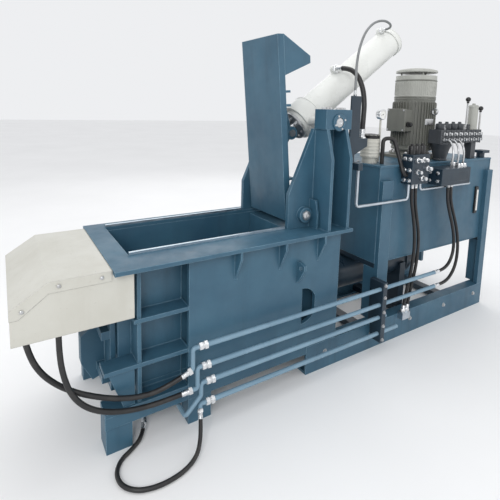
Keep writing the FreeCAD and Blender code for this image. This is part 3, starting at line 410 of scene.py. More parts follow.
def swept(path: Array, radius: float | Array, sides: int, ripple: float = 0.0,
          pitch: float = 0.006) -> Part:
    """A round bar along a path, rippled as a weld bead is when ripple isn't 0.

    Point = path(t) + R(t) (cos a N + sin a B), with R = radius (1 + ripple sin(2 pi t / pitch)).

    Args:
        path: Points of the centreline, shape (n, 3).
        radius: The bar's radius, or one for each point.
        sides: Steps round the bar.
        ripple: Share by which the radius swings.
        pitch: Length of one ripple in metres.

    Returns:
        Vertices and faces, with both ends capped.
    """
    way = np.gradient(path, axis=0)
    way /= np.linalg.norm(way, axis=1, keepdims=True)
    spread = np.abs(way).max(0)
    aside = np.eye(3)[int(np.argmin(spread))]
    normal = np.cross(way, aside)
    normal /= np.linalg.norm(normal, axis=1, keepdims=True)
    other = np.cross(way, normal)
    run = np.concatenate([[0], np.cumsum(np.linalg.norm(np.diff(path, axis=0), axis=1))])
    wide = np.broadcast_to(radius, run.shape) * (1 + ripple * np.sin(2 * np.pi * run / pitch))
    a = np.linspace(0, 2 * np.pi, sides, endpoint=False)
    ring = np.cos(a)[None, :, None] * normal[:, None] + np.sin(a)[None, :, None] * other[:, None]
    points = path[:, None] + wide[:, None, None] * ring
    faces = grid_faces(len(path), sides, True)
    last = (len(path) - 1) * sides
    faces += [list(range(sides))[::-1], list(range(last, last + sides))]
    return points.reshape(-1, 3), faces


def extruded(outline: Array, origin: Array, across: Array, up: Array, depth: Array) -> Part:
    """A flat outline carried along a depth vector.

    Point = origin + u across + v up + s depth, for outline points (u, v) and s of 0 and 1.

    Args:
        outline: The flat outline's points (u, v), shape (n, 2).
        origin: Where (0, 0) lies.
        across: Direction of u.
        up: Direction of v.
        depth: How far and which way the outline is carried.

    Returns:
        Vertices and faces, with both ends capped.
    """
    flat = np.asarray(outline, float)
    base = np.asarray(origin) + flat[:, :1] * across + flat[:, 1:] * up
    count = len(flat)
    faces = grid_faces(2, count, True)
    faces += [list(range(count))[::-1], list(range(count, 2 * count))]
    return np.concatenate([base, base + depth]), faces


def block(low: Point, high: Point) -> Part:
    """A six-sided block between two corners, rounded later by its bevel.

    Args:
        low: The corner with the lowest coordinates.
        high: The corner with the highest.

    Returns:
        Vertices and faces.
    """
    lo, hi = np.array(low, float), np.array(high, float)
    size = hi - lo
    outline = np.array([(0, 0), (size[0], 0), (size[0], size[1]), (0, size[1])])
    return extruded(outline, lo, X, Y, Z * size[2])


def repeated(part: Part, places: Array) -> list[Part]:
    """Copies of a part, each moved by one row of places.

    Args:
        part: Vertices and faces.
        places: Moves, shape (n, 3).

    Returns:
        One part for each row.
    """
    points, faces = part
    return [(points + place, faces) for place in np.asarray(places, float)]


def hex_bolt(across: float, height: float, axis: Array) -> list[Part]:
    """A hexagon head with chamfered corners on a round washer, standing on the origin.

    Args:
        across: Width of the head across its flats.
        height: Height of the head and washer together.
        axis: Where the head points.

    Returns:
        The washer and the head.
    """
    r = across / math.sqrt(3)
    origin = np.zeros(3)
    head = turned(np.array([(r, 0.12), (r, 0.82), (r * 0.86, 1.0)]) * [1, height], origin, axis, 6)
    washer = turned(np.array([(1.25 * r, 0.0), (1.25 * r, 0.1), (1.15 * r, 0.16)])
                    * [1, height], origin, axis, 24)
    return [washer, head]


def bolts(places: Array, axis: Array, across: float = 0.019, height: float = 0.011) -> list[Part]:
    """Hexagon bolts at each place, heads pointing along an axis.

    Args:
        places: Where the washers sit, shape (n, 3).
        axis: Where the heads point.
        across: Width of a head across its flats.
        height: Height of a head and its washer.

    Returns:
        All the washers, then all the heads.
    """
    return [copy for part in hex_bolt(across, height, axis) for copy in repeated(part, places)]


def circle(centre: Array, axis: Array, radius: float, count: int, phase: float = 0.0) -> Array:
    """Evenly spaced points on a circle: centre + radius (cos a first + sin a second).

    Args:
        centre: The circle's centre.
        axis: The direction across its plane.
        radius: Its radius.
        count: How many points.
        phase: Angle of the first.

    Returns:
        The points, shape (count, 3).
    """
    first, second, _ = basis(axis)
    a = phase + np.linspace(0, 2 * np.pi, count, endpoint=False)
    return np.asarray(centre) + radius * (np.cos(a)[:, None] * first + np.sin(a)[:, None] * second)


def straight(start: Point, end: Point, step: float = 0.0015) -> Array:
    """Evenly spaced points on the line between two points.

    Args:
        start: The line's first point.
        end: Its last point.
        step: Distance between points, about.

    Returns:
        At least 3 points, shape (n, 3).
    """
    a, b = np.array(start, float), np.array(end, float)
    count = max(3, int(np.linalg.norm(b - a) / step))
    return a + np.linspace(0, 1, count)[:, None] * (b - a)


def weld(start: Point, end: Point, size: float = 0.0042) -> Part:
    """A rippled weld bead along a straight seam.

    Args:
        start: One end of the seam.
        end: Its other end.
        size: Radius of the bead.

    Returns:
        Vertices and faces.
    """
    return swept(straight(start, end), size, 6, 0.16)


def rounded(points: list[Point], radius: float, steps: int = 14) -> Array:
    """A line through points with each inner corner cut by a smooth curve.

    Each corner c becomes (1-t)^2 a + 2 t (1-t) c + t^2 b, a and b being the radius away on
    either side of it.

    Args:
        points: The corners, first and last included.
        radius: Distance from a corner at which its curve starts.
        steps: Points along each curve.

    Returns:
        The points of the rounded line, shape (n, 3).
    """
    corners = np.array(points, float)
    t = np.linspace(0, 1, steps)[:, None]
    out = [corners[:1]]
    for before, corner, after in zip(corners, corners[1:], corners[2:]):
        a = corner + radius * (before - corner) / np.linalg.norm(before - corner)
        b = corner + radius * (after - corner) / np.linalg.norm(after - corner)
        out.append((1 - t) ** 2 * a + 2 * t * (1 - t) * corner + t ** 2 * b)
    out.append(corners[-1:])
    return np.concatenate(out)


def bow(start: Point, end: Point, lift: Array, count: int = 28) -> Array:
    """A smooth arch between two points: the line plus lift times sin(pi t) to the power 0.8.

    Args:
        start: The arch's first point.
        end: Its last point.
        lift: How far and which way its middle stands off the line.
        count: How many points.

    Returns:
        The points, shape (count, 3).
    """
    t = np.linspace(0, 1, count)[:, None]
    line = np.array(start) * (1 - t) + np.array(end) * t
    return line + np.asarray(lift) * np.sin(np.pi * np.clip(t, 1e-6, 1 - 1e-6)) ** 0.8


def add_piece(name: str, parts: list[Part], look: str, body: str, bevel: float = 0.0,
              sharp: float = 38.0) -> bpy.types.Object:
    """Make one mesh piece that rides on a body.

    Args:
        name: The piece's name.
        parts: Vertices and faces to join in one mesh.
        look: Name of its finish.
        body: The CAD body that carries it.
        bevel: Width of its rounded edges in metres, or 0.
        sharp: Edges bent more than this many degrees stay crisp.

    Returns:
        The piece.
    """
    starts = np.cumsum([0] + [len(points) for points, _ in parts])
    points = np.concatenate([points for points, _ in parts])
    faces = [[int(start) + i for i in face]
             for start, (_, quads) in zip(starts, parts) for face in quads]
    mesh = bpy.data.meshes.new(name)
    mesh.from_pydata(points.tolist(), [], faces)
    mesh.validate()
    mesh.shade_smooth()
    mesh.set_sharp_from_angle(angle=math.radians(sharp))
    piece = bpy.data.objects.new(name, mesh)
    bpy.context.scene.collection.objects.link(piece)
    mesh.materials.append(finish(look))
    if bevel:
        edge = piece.modifiers.new("round", "BEVEL")
        edge.width = bevel
        edge.segments = 2
        edge.limit_method = "ANGLE"
        edge.angle_limit = math.radians(sharp)
    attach(piece, body)
    LOG.info("%s: %d faces on %s", name, len(faces), body)
    return piece


# ---- camera, light and floor -----------------------------------------------------------------
@dataclass(frozen=True)
class Studio:
    """Camera at a standing person's height, a pale floor and soft light.

    Angles are in degrees, the lens and film are in millimetres, and a light is its name, place,
    power in watts and width.
    """

    eye: Point = (-1.711, -2.040, 1.602)
    turn: float = 31.97
    tilt: float = -7.38
    roll: float = 1.49
    lens: float = 28.97
    film: float = 36.0
    shift: float = -0.18
    reach: float = 200.0
    aim: Point = (0.0, 0.0, 0.7)
    lights: tuple[tuple[str, Point, float, float], ...] = (
        ("key", (-4.2, -4.6, 4.4), 150.0, 2.6), ("fill", (3.8, -5.0, 2.6), 25.0, 4.0),
        ("top", (0.4, 1.2, 5.6), 70.0, 4.5), ("back", (2.0, 5.5, 3.6), 30.0, 4.0))
    sky: Colour = (0.97, 0.98, 1.0)
    sky_strength: float = 0.88
    floor_low: Point = (-30, -30, -0.05)
    floor_high: Point = (30, 40, 0.0)
    floor_tones: tuple[Colour, Colour] = ((0.86, 0.86, 0.86), (0.90, 0.90, 0.90))
    floor_roughness: float = 0.7

    def camera(self) -> None:
        """Stand the camera: turned right of +Y, tilted down and rolled."""
        data = bpy.data.cameras.new("camera")
        data.lens = self.lens
        data.sensor_width = self.film
        data.shift_y = self.shift
        data.clip_end = self.reach
        camera = bpy.data.objects.new("camera", data)
        camera.matrix_world = (Matrix.Translation(self.eye)
                               @ Matrix.Rotation(math.radians(-self.turn), 4, "Z")
                               @ Matrix.Rotation(math.radians(90 + self.tilt), 4, "X")
                               @ Matrix.Rotation(math.radians(self.roll), 4, "Z"))
        bpy.context.scene.collection.objects.link(camera)
        bpy.context.scene.camera = camera

    def light(self) -> None:
        """Soft lights: a wide key from the front left, a fill, a top light and a pale sky."""
        aim = Vector(self.aim)
        for name, place, power, size in self.lights:
            data = bpy.data.lights.new(name, "AREA")
            data.energy = power
            data.size = size
            lamp = bpy.data.objects.new(name, data)
            lamp.location = place
            lamp.rotation_euler = (aim - Vector(place)).to_track_quat("-Z", "Y").to_euler()
            bpy.context.scene.collection.objects.link(lamp)
        world = bpy.data.worlds.new("sky")
        world.use_nodes = True
        background = world.node_tree.nodes["Background"]
        background.inputs["Color"].default_value = (*self.sky, 1.0)
        background.inputs["Strength"].default_value = self.sky_strength
        bpy.context.scene.world = world
        bpy.context.scene.view_settings.view_transform = "Standard"

    def floor(self) -> None:
        """A wide pale floor."""
        mesh = bpy.data.meshes.new("floor")
        points, faces = block(self.floor_low, self.floor_high)
        mesh.from_pydata(points.tolist(), [], faces)
        s = Shader("floor")
        s.link(s.mix(s.spread(s.noise(0.6, 4.0), 0.3, 0.7), *self.floor_tones),
               s.surface.inputs["Base Color"])
        s.surface.inputs["Roughness"].default_value = self.floor_roughness
        mesh.materials.append(s.material)
        floor = bpy.data.objects.new("floor", mesh)
        bpy.context.scene.collection.objects.link(floor)


# ---- hoses -----------------------------------------------------------------------------------
class Bend(Enum):
    """How stiffly a hose bends."""

    LIMP = "limp"
    MEDIUM = "medium"
    STIFF = "stiff"


@dataclass(frozen=True)
class Hose:
    """One hydraulic hose: its CAD node, bore-to-cover diameter, length and route in metres."""

    node: str
    diameter: float
    length: float
    route: tuple[Point, ...]
    bend: Bend = Bend.MEDIUM
    lay: str = "hanging"
    look: str = "hose_rubber"
    collars: tuple[int, ...] = (0, -1)
    butted: tuple[int, ...] = ()

    def build(self) -> None:
        """Lay the hose on a smooth curve and crimp a sleeve on each end listed in its collars."""
        data = bpy.data.curves.new(self.node + "_cover", "CURVE")
        data.dimensions = "3D"
        spline = data.splines.new("NURBS")
        spline.points.add(len(self.route) - 1)
        flat = np.column_stack([np.array(self.route), np.ones(len(self.route))])
        spline.points.foreach_set("co", flat.ravel())
        spline.order_u = 3
        spline.use_endpoint_u = True
        data.resolution_u = 10
        data.bevel_depth = self.diameter / 2
        data.bevel_resolution = 5
        data.use_fill_caps = True
        data.materials.append(finish(self.look))
        hose = bpy.data.objects.new(self.node + "_cover", data)
        bpy.context.scene.collection.objects.link(hose)
        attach(hose, "frame")
        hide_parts(self.node)
        sleeves = [part for end in self.collars for part in self.sleeve(end)]
        crimp = add_piece(self.node + "_crimps", sleeves, "bright_plate", "frame")

    def sleeve(self, end: int) -> list[Part]:
        """A grooved crimp sleeve over the hose's end, and a hexagon nut beyond it unless butted.

        Args:
            end: 0 for the route's first point, -1 for its last.

        Returns:
            The sleeve, then the nut if there is one.
        """
        tip = np.array(self.route[end])
        inner = np.array(self.route[1 if end == 0 else -2])
        way = (tip - inner) / np.linalg.norm(tip - inner)
        r = self.diameter / 2
        h = np.linspace(-1.5 * self.diameter, 0.0, 25)
        swell = r * (1.16 + 0.07 * np.cos(2 * np.pi * h / (0.3 * self.diameter)))
        sleeve = turned(np.column_stack([swell, h]), tip, way, 24)
        if end in self.butted:
            return [sleeve]
        nut = np.array([(1.42 * r, 0.0), (1.5 * r, 0.06), (1.5 * r, 0.7), (1.4 * r, 0.78)])
        return [sleeve, turned(nut * [1, self.diameter], tip, way, 6)]


HOSES = (
    Hose("gate_hose_upper", 0.024, 0.878, (
        (-1.666, -0.300, 0.660), (-1.652, -0.300, 0.585), (-1.618, -0.300, 0.502),
        (-1.566, -0.300, 0.432), (-1.496, -0.306, 0.372), (-1.412, -0.320, 0.326),
        (-1.312, -0.344, 0.292), (-1.198, -0.366, 0.277), (-1.090, -0.380, 0.297),
        (-0.995, -0.386, 0.336)), collars=(-1,)),
    Hose("gate_hose_lower", 0.024, 0.852, (
        (-1.544, -0.318, 0.660), (-1.545, -0.326, 0.574), (-1.534, -0.338, 0.476),
        (-1.506, -0.344, 0.382), (-1.450, -0.348, 0.306), (-1.368, -0.352, 0.254),
        (-1.262, -0.360, 0.226), (-1.128, -0.374, 0.222), (-0.994, -0.386, 0.236)),
        collars=(-1,)),
    Hose("floor_hose", 0.020, 0.874, (
        (-0.9432, -0.414, 0.1228), (-0.960, -0.456, 0.088), (-0.982, -0.498, 0.052),
        (-1.014, -0.534, 0.024), (-1.070, -0.562, 0.012), (-1.142, -0.580, 0.012),
        (-1.222, -0.580, 0.012), (-1.296, -0.556, 0.012), (-1.345, -0.502, 0.012),
        (-1.352, -0.432, 0.012), (-1.316, -0.372, 0.012), (-1.252, -0.338, 0.012),
        (-1.196, -0.300, 0.020), (-1.170, -0.240, 0.030)), Bend.LIMP, "loose"),
    Hose("lid_hose_thick", 0.032, 0.588, (
        (0.246, 0.008, 1.880), (0.246, -0.080, 1.880), (0.258, -0.158, 1.838),
        (0.266, -0.206, 1.752), (0.258, -0.236, 1.652), (0.244, -0.246, 1.548),
        (0.240, -0.246, 1.440)), butted=(0,)),
    Hose("lid_hose_thin", 0.016, 0.924, (
        (0.150, -0.254, 1.700), (0.152, -0.254, 1.784), (0.176, -0.228, 1.898),
        (0.232, -0.196, 2.012), (0.316, -0.158, 2.112), (0.424, -0.128, 2.186),
        (0.540, -0.112, 2.214), (0.632, -0.092, 2.200), (0.668, -0.048, 2.182),
        (0.668, 0.008, 2.182)), look="hose_braid", butted=(-1,)),
    Hose("drop_hose_1", 0.022, 0.912, (
        (0.660, -0.336, 1.120), (0.660, -0.336, 1.012), (0.688, -0.342, 0.898),
        (0.712, -0.346, 0.782), (0.724, -0.347, 0.664), (0.716, -0.348, 0.548),
        (0.694, -0.348, 0.436), (0.664, -0.348, 0.326), (0.650, -0.348, 0.220))),
    Hose("drop_hose_2", 0.022, 0.914, (
        (0.700, -0.336, 1.120), (0.700, -0.336, 1.008), (0.726, -0.341, 0.892),
        (0.756, -0.346, 0.776), (0.768, -0.347, 0.658), (0.760, -0.348, 0.544),
        (0.736, -0.348, 0.432), (0.706, -0.348, 0.324), (0.690, -0.348, 0.220))),
    Hose("drop_hose_3", 0.022, 0.801, (
        (1.040, -0.360, 1.100), (1.040, -0.360, 0.990), (1.078, -0.365, 0.880),
        (1.122, -0.372, 0.774), (1.148, -0.378, 0.670), (1.144, -0.384, 0.570),
        (1.100, -0.386, 0.488), (1.024, -0.386, 0.452), (0.940, -0.386, 0.452))),
    Hose("drop_hose_4", 0.022, 0.941, (
        (1.078, -0.360, 1.100), (1.078, -0.360, 0.990), (1.120, -0.366, 0.880),
        (1.168, -0.372, 0.772), (1.198, -0.378, 0.660), (1.204, -0.383, 0.548),
        (1.180, -0.386, 0.444), (1.118, -0.386, 0.370), (1.036, -0.386, 0.345),
        (0.950, -0.386, 0.345))),
)


# ---- sub-assemblies --------------------------------------------------------------------------
def dress(looks: dict[str, str]) -> None:
    """Give each CAD node its finish.

    Args:
        looks: The finish's name for each node's name.
    """
    for node, look in looks.items():
        slots = frame["nodes"][node].data.materials
        slots.clear()
        slots.append(finish(look))


def joint_of(name: str) -> dict:
    """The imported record's entry for one joint.

    Args:
        name: The joint's name.

    Returns:
        Its entry, with pos_m and axis.
    """
    return next(joint for joint in frame["joints"] if joint["name"] == name)


@dataclass
class PressBox:
    """Welds and worn lips on the press box and its rim, in metres as in every class below."""

    gusset_offsets: tuple[float, ...] = (0.522, 0.805, 1.083)
    gusset: float = 0.012
    gusset_drop: float = 0.164
    shelf_tops: tuple[float, ...] = (0.633, 0.415, 0.215)
    shelf_plate: float = 0.02
    seam: float = 0.005
    corner_gap: float = 0.002
    lip: tuple[float, float] = (0.012, 0.014)
    lip_proud: tuple[float, float] = (0.0006, 0.0008)
    lip_inset: float = 0.001
    lip_end_gap: float = 0.01
    looks: dict[str, str] = field(default_factory=lambda: {
        name: "blue_paint" for name in (
            "chamber_front_wall", "chamber_rear_wall", "chamber_floor", "front_skin_plate",
            "rear_skin_plate", "end_ribs_front", "end_ribs_rear", "end_frame", "rim_frame",
            "rim_gussets")})

    def build(self) -> None:
        """Dress the box and add its welds and lip strips."""
        dress(self.looks)
        self.welds()
        self.lips()

    def welds(self) -> None:
        """Beads on both sides of each gusset, under the rim, and along the ribs' shelves."""
        floor_lo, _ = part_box("chamber_floor")
        skin_lo, skin_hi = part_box("front_skin_plate")
        rim_lo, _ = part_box("rim_frame")
        wall_lo, wall_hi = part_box("chamber_front_wall")
        under_rim = wall_hi.z
        y = skin_lo.y
        beads = []
        for offset in self.gusset_offsets:
            x = floor_lo.x + offset
            for side in (x, x - self.gusset):
                beads.append(weld((side, y, under_rim - self.gusset_drop), (side, y, under_rim)))
                beads.append(weld((side, rim_lo.y + self.seam, under_rim), (side, y, under_rim)))
        beads.append(weld((skin_lo.x, y, under_rim), (skin_hi.x, y, under_rim)))
        for z in self.shelf_tops:
            low = z - self.shelf_plate
            beads.append(weld((floor_lo.x, wall_lo.y, z), (skin_lo.x, wall_lo.y, z)))
            beads.append(weld((floor_lo.x, wall_lo.y, low), (skin_lo.x, wall_lo.y, low)))
            beads.append(weld((skin_lo.x, y + self.corner_gap, z), (skin_lo.x, wall_lo.y, z)))
        beads.append(weld((skin_lo.x, wall_lo.y, floor_lo.z), (skin_lo.x, wall_lo.y, under_rim)))
        add_piece("box_welds", beads, "blue_paint", "frame", sharp=BEAD_SHARP)

    def lips(self) -> None:
        """Worn strips along the two inner edges of the rim."""
        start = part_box("chamber_floor")[0].x + self.lip_inset
        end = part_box("column_front")[0].x - self.lip_end_gap
        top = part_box("rim_frame")[1].z
        wide, high = self.lip
        aside, above = self.lip_proud
        rows = []
        for low in (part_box("chamber_front_wall")[1].y - wide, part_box("chamber_rear_wall")[0].y):
            rows.append(block((start, low - aside, top - high + self.lip_inset),
                              (end, low + wide + aside, top + above)))
        add_piece("lip_strips", rows, "worn_steel", "frame", bevel=0.0015)


@dataclass
class Columns:
    """Bearing caps, bolts, trunnion plate and welds of the two columns.

    A bolt is its width across flats and its height. A profile is radius and height pairs.
    """

    cap_line: float = 0.040
    bolt_offsets: tuple[float, ...] = (-0.080, -0.055, -0.030, 0.030, 0.055, 0.080)
    bolt: tuple[float, float] = (0.022, 0.0125)
    bolt_sink: float = 0.012
    plate: Profile = ((0.050, 0.0), (0.050, 0.008), (0.046, 0.011), (0.030, 0.011), (0.028, 0.0))
    plate_thickness: float = 0.008
    plate_bolt: tuple[float, float] = (0.012, 0.006)
    plate_bolt_circle: float = 0.039
    cheek: float = 0.026
    weld_gap: float = 0.004
    flange_offsets: tuple[float, ...] = (0.165, 0.145, 0.020)
    washer: Profile = ((0.026, -0.002), (0.026, 0.004), (0.020, 0.008))
    shaft_end: Profile = ((0.012, 0.004), (0.012, 0.014), (0.009, 0.017))

    def build(self) -> None:
        """Dress the columns and add their hardware."""
        dress({name: "blue_paint" for name in ("column_front", "column_rear",
                                               "bearing_block_front", "bearing_block_rear")})
        dress({"hose_bracket": "dark_paint"})
        hardware, beads, plates = [], [], []
        for side, way in (("front", -Y), ("rear", Y)):
            lo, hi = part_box("bearing_block_" + side)
            x, mid = (lo.x + hi.x) / 2, (lo.y + hi.y) / 2
            spots = np.array([(x + dx, mid, hi.z - self.bolt_sink) for dx in self.bolt_offsets])
            hardware += bolts(spots, Z, *self.bolt)
            if side == "front":
                seat = np.array([x, lo.y, lo.z + self.cap_line])
                plates.append(turned(self.plate, seat, way, 48))
                ring = circle(seat + way * self.plate_thickness, way, self.plate_bolt_circle, 4,
                              0.4)
                hardware += bolts(ring, way, *self.plate_bolt)
            beads += self.flange_welds(side)
        add_piece("bearing_bolts", hardware, "steel", "frame")
        add_piece("trunnion_plate", plates, "blue_paint", "frame", bevel=0.001)
        add_piece("column_welds", beads, "blue_paint", "frame", sharp=BEAD_SHARP)
        self.hinge_ends()

    def flange_welds(self, side: str) -> list[Part]:
        """Beads along the foot of one column's flanges and up them.

        Args:
            side: Which column, front or rear.

        Returns:
            The beads.
        """
        lo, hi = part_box("column_" + side)
        if side == "front":
            outer, wall = lo.y, hi.y - self.cheek
        else:
            outer, wall = hi.y, lo.y + self.cheek
        y0, y1 = sorted((outer, wall))
        gap = self.weld_gap
        beads = [weld((hi.x - dx, y0 + gap, lo.z), (hi.x - dx, y1 - gap, lo.z))
                 for dx in (*self.flange_offsets, 0.0)]
        beads += [weld((hi.x - dx, wall, lo.z), (hi.x - dx, wall, hi.z - gap))
                  for dx in self.flange_offsets]
        return beads

    def hinge_ends(self) -> None:
        """A washer and a hexagon end on each side of the lid's hinge shaft."""
        x, _, z = joint_of("lid_hinge")["pos_m"]
        shaft_lo, shaft_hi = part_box("lid_pins")
        parts = []
        for y, way in ((shaft_lo.y, -Y), (shaft_hi.y, Y)):
            seat = np.array([x, y, z])
            parts.append(turned(self.washer, seat, way, 40))
            parts.append(turned(self.shaft_end, seat, way, 6))
        add_piece("hinge_shaft_ends", parts, "steel", "lid")


@dataclass
class Lid:
    """The tilting lid with its cylinder.

    A band is its distance behind the trunnions and the barrel's radius there. A port is the
    elbow's place and the nut's radius.
    """

    gland_reach: float = 0.058
    gland_half: float = 0.012
    gland: Profile = ((0.052, 0.0), (0.098, 0.0), (0.100, 0.004), (0.100, 0.020), (0.096, 0.024),
                      (0.056, 0.024), (0.052, 0.020))
    gland_bolt: tuple[float, float] = (0.018, 0.010)
    gland_bolt_circle: float = 0.078
    bands: Profile = ((-0.030, 0.1185), (0.088, 0.1185), (0.976, 0.1055), (1.010, 0.1055))
    band_bar: float = 0.0035
    band_sink: float = 0.0015
    ports: tuple[tuple[Point, float], ...] = (((0.246, 0.050, 1.880), 0.030),
                                              ((0.668, 0.050, 2.182), 0.024))
    port_sink: float = 0.018
    port_nut: Profile = ((0.9, 0), (1, 0.05), (1, 0.6), (0.9, 0.68))
    trunnion_cap: Profile = ((0.0275, -0.004), (0.0275, 0.001), (0.024, 0.0035), (0.012, 0.0035),
                             (0.010, 0.001))

    def build(self) -> None:
        """Dress the lid and cylinder and add the gland's bolts, bands, port nuts and cap."""
        # The barrel and its rings take the beige drawn lighter, painting in the top light.
        dress({"lid_slab": "blue_paint", "lid_nose": "blue_paint", "lid_ribs": "blue_paint",
               "lid_pins": "steel", "lid_cylinder_barrel": "barrel_beige_lit_paint",
               "lid_cylinder_rod": "rod_chrome"})
        out = np.array(joint_of("lid_cylinder_stroke")["axis"])
        pivot = np.array(joint_of("lid_cylinder_swing")["pos_m"])
        head = pivot + out * self.gland_reach
        ring = [turned(self.gland, head - out * self.gland_half, out, 72)]
        ring += bolts(circle(head + out * self.gland_half, out, self.gland_bolt_circle, 8, 0.3),
                      out, *self.gland_bolt)
        add_piece("gland_ring", ring, "steel", "lid_barrel")
        bands = [swept(circle(pivot - out * along, out, radius - self.band_sink, 120),
                       self.band_bar, 6) for along, radius in self.bands]
        add_piece("barrel_rings", bands, "barrel_beige_lit_paint", "lid_barrel")
        nuts = [turned(np.array(self.port_nut) * size, np.array(elbow) - Y * self.port_sink, -Y, 6)
                for elbow, size in self.ports]
        add_piece("port_nuts", nuts, "bright_plate", "lid_barrel")
        stub = np.array([pivot[0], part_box("lid_cylinder_barrel")[0].y, pivot[2]])
        add_piece("trunnion_cap", [turned(self.trunnion_cap, stub, -Y, 48)], "steel",
                  "lid_barrel")


@dataclass
class Gate:
    """End gate, its cylinder and the hood over them.

    A screw's place is its distance from the cover's low X (or its high X, below 0) and its drop
    from the top.
    """

    screw: float = 0.008
    screw_sink: float = 0.0005
    screws: Profile = ((-0.042, 0.022), (0.178, 0.022), (0.044, 0.099))

    def build(self) -> None:
        """Dress the gate and hood and add the hood's screws."""
        dress({"end_gate": "blue_paint", "gate_crank": "dark_paint", "gate_bracket": "dark_paint",
               "gate_cylinder_barrel": "dark_paint", "gate_cylinder_rod": "rod_chrome",
               "hood_shell": "cream_paint", "hood_cover": "cream_paint",
               "hood_hose_bar": "steel"})
        lo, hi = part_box("hood_cover")
        r = self.screw
        dome = np.array([(r, 0.0), (r, 0.002), (0.8 * r, 0.004), (0.4 * r, 0.0052),
                         (0.05 * r, 0.0055)])
        heads = []
        for along, drop in self.screws:
            x = (hi.x if along < 0 else lo.x) + along
            z = hi.z - drop
            heads.append(turned(dome, (x, lo.y + self.screw_sink, z), -Y, 24))
            heads.append(turned(dome, (x, hi.y - self.screw_sink, z), Y, 24))
        add_piece("hood_screw_heads", heads, "steel", "frame")


@dataclass
class Ram:
    """Main ram, its cylinder and the base frame."""

    flange: float = 0.045
    flange_bolt: tuple[float, float] = (0.019, 0.012)
    flange_bolt_circle: float = 0.138
    rail_bolt: tuple[float, float] = (0.022, 0.011)
    rail_bolt_height: float = 0.110
    rail_bolt_ends: tuple[float, float] = (0.15, 0.12)
    rail_bolt_count: int = 5

    def build(self) -> None:
        """Dress the ram and frame and add their bolts."""
        dress({"ram_platen": "blue_paint", "main_rod": "rod_chrome", "main_cylinder": "dark_paint",
               "cylinder_yoke": "blue_paint", "cross_members": "dark_paint",
               "base_rail_front": "blue_paint", "base_rail_rear": "blue_paint",
               "posts_front": "blue_paint", "posts_rear": "blue_paint"})
        rod_lo, rod_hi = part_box("main_rod")
        face = np.array([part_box("main_cylinder")[0].x + self.flange, (rod_lo.y + rod_hi.y) / 2,
                         (rod_lo.z + rod_hi.z) / 2])
        add_piece("flange_bolts", bolts(circle(face, X, self.flange_bolt_circle, 12), X,
                                        *self.flange_bolt), "steel", "frame")
        rail_lo, rail_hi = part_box("base_rail_front")
        first, last = self.rail_bolt_ends
        spots = np.array([(x, rail_lo.y, self.rail_bolt_height) for x in np.linspace(
            rail_lo.x + first, rail_hi.x - last, self.rail_bolt_count)])
        add_piece("rail_bolts", bolts(spots, -Y, *self.rail_bolt), "steel", "frame")


